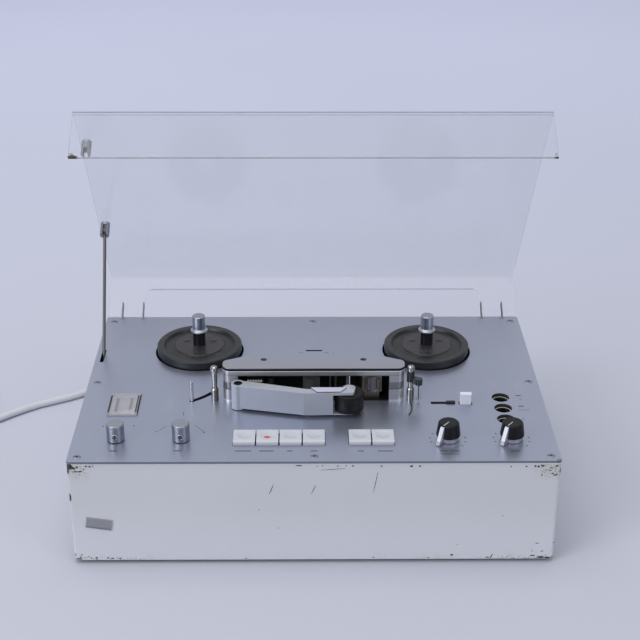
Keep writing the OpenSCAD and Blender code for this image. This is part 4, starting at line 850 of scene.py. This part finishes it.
# The finish of every node, or of several nodes at once
WORN = {
    "case_shell": enamel(),
    "base_cover": moulded("base_grey", (150, 152, 156), 0.5),
    "feet": moulded("foot_rubber", (40, 40, 42), 0.75, 0.9, 0.15),
    "case_screws": steel_screw(),
    "deck_plate": deck_paint(),
    "chassis": metal("chassis_steel", (170, 172, 176), 0.42, (0.2, 1, 1)),
    "lid_sheet": lid_sheet_finish(),
    "hinge_blades hinge_pins hinge_blocks": FIN["hinge"],
    "lid_studs": turned("stud_aluminium", (156, 159, 168), (STUD_X, 0), 0.42),
    "prop_rod": metal("rod_steel", (100, 101, 98), 0.32, (1, 1, 0.1)),
    "left_reel_table right_reel_table": FIN["reel"],
    "reel_motors capstan_motor": metal("motor_grey", (140, 142, 146), 0.48),
    "capstan feeler_arm": FIN["shaft"],
    "capstan_bearing flywheel motor_pulley": metal("bearing_bronze", (168, 138, 96), 0.34),
    "drive_belt": moulded("belt_rubber", (30, 30, 32), 0.7),
    "head_housing": housing_finish(),
    "head_cover": cover_finish(),
    "cover_screws": moulded("cover_screw_black", (30, 30, 32), 0.35, coat=0.3),
    "record_head play_head": metal("head_can", (146, 144, 136), 0.34),
    "erase_head": moulded("erase_black", (34, 34, 36), 0.45),
    "tape_guides": guide_finish(),
    "pressure_arm": arm_finish(),
    "pressure_roller": roller_finish(),
    "arm_post": moulded("arm_post_black", (12, 12, 18), 0.85),
    "switch_arm": FIN["switch"],
    "key_1 key_2 key_3 key_4 key_5 key_6 pause_key": key_finish(),
    "slide_lever": moulded("lever_black", (24, 24, 30), 0.45),
    "control_bodies key_frame": metal("control_grey", (150, 150, 152), 0.45),
    "meter_case": moulded("meter_body", (224, 222, 224), 0.5),
    "meter_window": window_finish(),
    "meter_needle": moulded("needle_black", (30, 30, 30), 0.5),
    "socket_bodies": socket_finish(),
    "transformer": moulded("transformer_iron", (96, 86, 80), 0.6),
    "amplifier_board": moulded("board_green", (58, 90, 62), 0.45),
    "front_plate": plate_finish(),
    "strain_relief plug": FIN["lead"],
}
# The caps' tops are painted darker (painted shade), the selectors' tops lighter (painted highlight).
for side, reel, selector, level in zip(SIDES, REELS, SELECTORS, LEVELS):
    WORN[f"{side}_cap"] = turned(f"{side}_cap_metal", (176, 181, 194), (reel, REEL_Y), top_light=0.86)
    WORN[f"{side}_selector"] = turned(f"{side}_selector_silver", (161, 165, 175), (selector, KNOB_Y), 0.3, 1.22)
    WORN[f"{side}_level_knob"] = knob_finish(f"{side}_knob_black", (level, KNOB_Y))
for names, finish in WORN.items():
    for name in names.split():
        mesh = NODES[name].data
        mesh.materials.clear()
        mesh.materials.append(finish)


# The lead and its tie

route = lead_route()
lead = Build().tube(route, CORD_D / 2, 16).piece("mains_lead", "case", "cord_grey", FIN["lead"])
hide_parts("mains_cord", "cord_coil")


def coil_tie():
    """A flat band, a rounded box in section, carried round the coil's six runs at one place."""
    a = np.radians(135)
    out, along = np.array([np.cos(a), np.sin(a), 0]), np.array([-np.sin(a), np.cos(a), 0])
    inner, outer = rounded(11.5, 7.35, 0.45), rounded(12.0, 7.8, 0.45)
    edge = [(inner, -4.5), (outer, -4.5), (outer, 4.5), (inner, 4.5)]
    middle = np.array([*COIL_AT, 7.9]) + 39.5 * out
    g = np.stack([middle + p[:, :1] * out + p[:, 1:] * np.array([0, 0, 1]) + s * along for p, s in edge])
    band = Build().grid(g, round_u=True, round_v=True, soft=False)
    return band.piece("cord_tie", "case", "cord_grey", FIN["tie"])


tie = coil_tie()


# Marks on the deck: bars and dots only

def deck_marks():
    """Thin printed bars, lines and dots, each an outline a few hundredths thick on the deck."""
    b = Build()
    z0, z1 = TOP + 0.01, TOP + 0.05
    bars = [(-175.6, -169.2, -122.1), (-120.5, -114.5, -122.2), (-68, -54.2, -122.6), (-47.3, -34.9, -122.7),
            (-23.4, -18.7, -122.8), (-3.3, 2.7, -122.9), (37.3, 42.3, -123.1), (54.3, 67.4, -123.2),
            (107.9, 114.5, -123.5), (117.2, 124.8, -123.5), (168, 175.5, -123.8), (185.7, 190.5, -26.8),
            (185.7, 190.4, -46.3)]
    for x0, x1, y in bars:
        b.slab(bar((x0, y), (x1, y), 1.3), z0, z1)
    thin = [((-129.8, -80.5), (-137.1, -89.1), 0.35), ((-103.5, -80.6), (-96.1, -90.7), 0.35),
            ((-117, -55), (-116.7, -62), 0.5), ((107.5, -128.4), (124.3, -128.4), 0.8),
            ((188, -33), (190.8, -33), 0.6), ((184.8, -53.1), (194.7, -53.1), 0.5),
            ((-127.6, -80.4), (-125.6, -80.4), 0.5), ((-105.4, -80.4), (-103.4, -80.4), 0.5)]
    for p, q, w in thin:
        b.slab(bar(p, q, w), z0, z1)
    dots = [(-186.1, -80.3), (-158.9, -79.8), (-96.2, -91.4), (-138.2, -90), (186.8, -69.2)]
    for x in LEVELS:
        dots += [(x - 13, -95), (x - 15.7, -101.5), (x - 14.9, -108.3), (x + 14.9, -101.2), (x + 14.5, -108.4),
                 (x + 11.3, -115.2)]
    for at in dots:
        b.slab(disc(at, 0.75, 14), z0, z1)
    return b.piece("deck_marks", "case", "deck_blue_grey", FIN["ink"])


def cover_marks():
    """Faint dots beside the slot of the head cover."""
    b = Build()
    for x, y, r in ((-11.8, -6.6, 0.7), (-9.4, -6.6, 0.5), (10.6, -6.6, 0.6), (12.8, -6.6, 0.7), (18.4, -8.8, 0.6)):
        b.slab(disc((x, y), r, 12), TOP + 34.41, TOP + 34.44)
    return b.piece("cover_marks", "case", "head_silver", FIN["ink"])


def record_dot():
    """Red dot that lies in the second key's scoop: a disc whose height follows the scoop's sphere."""
    at, r, reach = np.array([-40.8, -105.7]), 2.7, 27.672
    centre = np.array([KEYS[1], SCOOP_Y, TOP + 30.772])
    q, a = np.meshgrid(np.linspace(0.02, 1, 6), around(32), indexing="ij")
    x, y = at[0] + r * q * np.cos(a), at[1] + r * q * np.sin(a)
    z = np.minimum(centre[2] - np.sqrt(reach ** 2 - (x - centre[0]) ** 2 - (y - centre[1]) ** 2), TOP + 4)
    g = np.stack([np.stack([x, y, z + 0.05], -1), np.stack([x, y, z + 0.01], -1)[::-1]]).reshape(-1, 32, 3)
    return Build().grid(g, round_v=True, caps=True).piece("record_dot", "key_2_body", "key_white", FIN["red"])


# Inside the head bay

def bay_panel():
    """Black screen behind the heads as painted shade at the back of the bay, with a row of small eyelets, standing on
    the deck.
    """
    b = Build().slab(bar((-67.8, -12), (67.8, -12), 1.0), TOP, TOP + 25)
    t = np.linspace(0, 2 * np.pi, 17)
    for x in (-60, -30, 12, 40, 62):
        ring = np.column_stack([x + 1.6 * np.cos(t), np.full(17, -12.6), TOP + 19 + 1.6 * np.sin(t)])
        b.tube(ring[:-1][np.r_[0:16, 0]], 0.3, 6, side=(0, 1, 0))
    return b.piece("bay_panel", "case", "head_silver", FIN["black_felt"])


def head_details():
    """Faces of the heads: a rounded frame with core strips on the right one, white terminals on the left one."""
    b = Build()
    p = rounded(8.2, 7.6, 0.4)
    loop = np.column_stack([53 + p[:, 0], np.full(64, -32.0), TOP + 16 + p[:, 1]])
    u = np.cross(unit(np.roll(loop, -1, 0) - np.roll(loop, 1, 0)), [0, 1, 0])
    a = around(8)[None, :, None]
    g = loop[:, None] + 0.7 * (np.cos(a) * u[:, None] + np.sin(a) * np.array([0, 1, 0]))
    b.grid(g, round_u=True, round_v=True, finish=1)
    for x in (49.2, 52.2, 55.2, 57.6):
        b.slab(bar((x, -34.4), (x + 1.5, -34.4), 0.5), TOP + 10.5, TOP + 22, finish=2)
    b.slab(bar((-60.4, -33.4), (-46.8, -33.4), 1.6), TOP + 18.8, TOP + 19.4)
    for x in np.linspace(-59.4, -47.6, 6):
        b.lathe([(0.95, 0), (0.95, 0.9), (0.5, 1.3)], (x, -33.4, TOP + 19.4), n=12)
        y = np.linspace(0, 1, 9)
        wire = np.column_stack([x + 0.6 * np.sin(6 * y), -32.6 + 19 * y, TOP + 20.6 + 1.4 * np.sin(3 * y)])
        b.tube(wire, 0.4, 6, finish=3)
    return b.piece("head_details", "case", "head_can", FIN["white_part"], FIN["amber"], FIN["core"], FIN["switch"])


# Arm plate, switch wire, sockets, meter

def fork_plate():
    """Bright thin plate on the arm over the roller fork, cut at a slant at its left end."""
    o = [(2.6, -65.7), (23.6, -65.3), (29.4, -57.4), (-2.8, -57.2)]
    plate = Build().slab(o, TOP + 25.22, TOP + 26.0)
    return plate.piece("fork_plate", "roller_arm", "arm_silver", FIN["plate_bright"])


def switch_wire():
    """Thin wire hung from the switch arm: down, round a small loop and up again."""
    turn = np.radians(-32)
    x, y = POST[0] + 8.5 * np.cos(turn), POST[1] + 8.5 * np.sin(turn) - 0.6
    t, a = np.linspace(0, 1, 12), np.linspace(np.pi, 2 * np.pi, 13)[1:-1]
    across = np.concatenate([np.full(12, -2.0), 2.0 * np.cos(a), np.full(12, 2.0)])
    height = np.concatenate([18.3 - 14 * t, 4.3 + 2.4 * np.sin(a), 4.3 + 14 * t])
    wire = Build().tube(np.column_stack([x + across, np.full(len(across), y), TOP + height]), 0.35, 8, side=(0, 1, 0))
    return wire.piece("switch_wire", "tape_switch", "shaft_steel", FIN["shaft"])


def post_wire():
    """Black wire on the deck before the right post: a curve between two places, drawn towards a third."""
    t = np.linspace(0, 1, 24)[:, None]
    a, b, c = np.array([POST[0], -37.6]), np.array([90.4, -52.0]), np.array([85.2, -62.0])
    path = np.column_stack([a * (1 - t) ** 2 + 2 * b * t * (1 - t) + c * t ** 2, np.full(24, TOP + 0.56)])
    return Build().tube(path, 0.5, 8).piece("post_wire", "case", "switch_black", FIN["switch"])


def socket_rings():
    """Black sleeve in each socket as painted shade inside it, with a bright ring on its upper edge as a painted
    glint: closed profiles turned about the axis.
    """
    sleeve = [(7.2, -8.6), (8.05, -8.6), (8.05, -3.7), (7.9, -3.52), (7.35, -3.62), (7.2, -3.8)]
    ring = [(7.35, -3.61), (7.9, -3.51), (7.9, -3.46), (7.35, -3.56)]
    b = Build()
    for at in SOCKETS:
        b.lathe(sleeve, (*at, TOP), 1, loop=True).lathe(ring, (*at, TOP), loop=True)
    return b.piece("socket_rings", "case", "socket_black", FIN["rim"], FIN["black_felt"])


def meter_scale():
    """Scale card on the floor of the meter box, with two columns of ticks and a curved line of dots."""
    b = Build().slab(bar((METER[0] - 11.8, METER[1]), (METER[0] + 11.8, METER[1]), 34.8), TOP - 13.98, TOP - 13.8)
    z0, z1 = TOP - 13.79, TOP - 13.75
    for k, y in enumerate(np.linspace(-9, 14, 12)):
        w = 3.4 if k % 3 == 0 else 2.0
        for side in (-1, 1):
            x = METER[0] + side * 7.6
            b.slab(bar((x - w / 2, METER[1] + y), (x + w / 2, METER[1] + y), 0.6), z0, z1, finish=1)
    for a in np.radians(np.linspace(66, 114, 9)):
        p = np.array(METER) + [0, -13.25] + 21 * np.array([np.cos(a), np.sin(a)])
        b.slab(disc(p, 0.5, 10), z0, z1, finish=1)
    return b.piece("meter_scale", "case", "meter_body", FIN["card"], FIN["ink"])


def grub_screws():
    """Set screw in each selector's side: a dark hollow, partly the screw's own dark colour and partly painted shade
    of its hole, with a bright bevel, bent round the knob (width / radius).
    """
    t = around(24)

    def bent(x, rows):
        """Rings of (radius, distance from the axis), each point's width taken as an angle about the axis."""
        rings = [(r, d, r * np.cos(t) / 7.75) for r, d in rows]
        return np.stack([np.column_stack([x + d * np.sin(a), KNOB_Y - d * np.cos(a), TOP + 6.2 + r * np.sin(t)])
                         for r, d, a in rings])[:, ::-1]

    for x, side in zip(SELECTORS, SIDES):
        ring = bent(x, [(2.1, 7.4), (2.8, 7.4), (2.8, 7.77), (2.5, 7.9), (2.1, 7.9)])
        # The dark plug at the surface stands for the screw in its hole: the screw's own dark colour and painted shade
        # of the hole.
        hollow = bent(x, [(2.15, 7.4), (2.15, 7.8), (0.02, 7.8)])
        b = Build().grid(ring, round_u=True, round_v=True, finish=1).grid(hollow, round_v=True, caps=True)
        b.piece(f"{side}_grub_screw", f"selector_{side}", "selector_silver", FIN["grub"], FIN["shaft"])


def pointer_lines():
    """White line on each level knob's top, from near the middle to the edge above the fin."""
    d = np.array([np.cos(POINTER), np.sin(POINTER)])
    for x, side in zip(LEVELS, SIDES):
        c = np.array([x, KNOB_Y])
        line = Build().slab(bar(c + 0.2 * d, c + 8.2 * d, 0.6), TOP + 16.8, TOP + 16.86)
        line.piece(f"{side}_pointer_line", f"level_{side}", "knob_black", FIN["white_ink"])


def reel_marks():
    """Three round shallow buttons on each reel table's plateau."""
    for x, side in zip(REELS, SIDES):
        b = Build()
        for a in np.radians((150, 270, 30)):
            at = (x + 15.5 * np.cos(a), REEL_Y + 15.5 * np.sin(a), TOP + 7.2)
            b.lathe([(3.2, -0.05), (3.2, 0.25), (2.9, 0.4), (0.05, 0.4)], at, n=28)
        b.piece(f"{side}_reel_buttons", f"{side}_reel", "reel_black", FIN["reel"])


def clip_root():
    """Block in the upper part of the front clip's slot: a box in the closed lid's place, swung up with the lid."""
    y, z = -94.0, 152.0
    c, s = np.cos(LID_OPEN), np.sin(LID_OPEN)
    b = Build().slab(bar((STUD_X, y - 4.1), (STUD_X, y + 4.1), 3.58), z - 5.6, z)
    dy, dz = b.points[0][:, 1] - HINGE_Y, b.points[0][:, 2] - HINGE_Z
    b.points[0][:, 1:] = np.column_stack([HINGE_Y + dy * c + dz * s, HINGE_Z - dy * s + dz * c])
    return b.piece("clip_root", "lid", "shaft_steel", FIN["hinge"])


for make in (deck_marks, cover_marks, record_dot, bay_panel, head_details, fork_plate, switch_wire, post_wire,
             socket_rings, meter_scale, grub_screws, pointer_lines, reel_marks, clip_root):
    make()


# Floor and light

def studio():
    """A wide pale floor, a pale sky that is darker before the object and beside it, and three soft lamps."""
    f = Finish("floor_pale", Roughness=0.9, Specular_IOR_Level=0.1)
    near, far = f.step(f.y, 640, -220), f.step(f.y, 300, 1900)
    tone = f.mix(near, (198, 201, 217), (188, 190, 200))
    tone = f.mix(far, tone, (226, 230, 254))
    f.set(Base_Color=f.mix(f.noise(0.0012, 2) * 0.3, tone, (190, 193, 210)))
    g = np.stack(np.meshgrid([-6000.0, 6000.0], [-4000.0, 8000.0], [0.0], indexing="ij"), -1).reshape(2, 2, 3)
    mesh = bpy.data.meshes.new("floor")
    mesh.from_pydata((g.reshape(-1, 3) * MM).tolist(), [], [(0, 2, 3, 1)])
    mesh.materials.append(f.mat)
    put("floor", mesh)
    world = bpy.data.worlds.new("pale_sky")
    world.use_nodes = True
    sky = Nodes(world.node_tree)
    x, y, z = sky.parts(sky.node("ShaderNodeTexCoord")["Generated"])
    bright = sky.step(y, -0.2, 0.4).high(sky.step(z, 0.5, 0.9)) * sky.step(abs(x), 0.97, 0.75)
    light = world.node_tree.nodes["Background"]
    light.inputs[0].default_value = (0.93, 0.95, 1.0, 1)
    sky.feed(light.inputs[1], 0.37 + 0.31 * bright)
    scene.world = world
    for name, at, size, power, colour in (("over", (-0.35, -0.2, 2.4), 2.0, 20, (1, 0.99, 0.97)),
                                          ("left", (-1.9, -1.6, 1.5), 1.5, 30, (0.98, 0.98, 1)),
                                          ("right", (1.9, -1.7, 1.4), 1.2, 10, (0.98, 0.98, 1))):
        lamp = bpy.data.lights.new(name, "AREA")
        lamp.size, lamp.energy, lamp.color = size, power, colour
        back = unit(np.array(at) - LAMPS_FACE)
        across = unit(np.cross([0, 1, 0.001], back))
        stand(put(name, lamp), across, np.cross(back, across), back, at)
    scene.view_settings.view_transform = "Standard"


studio()
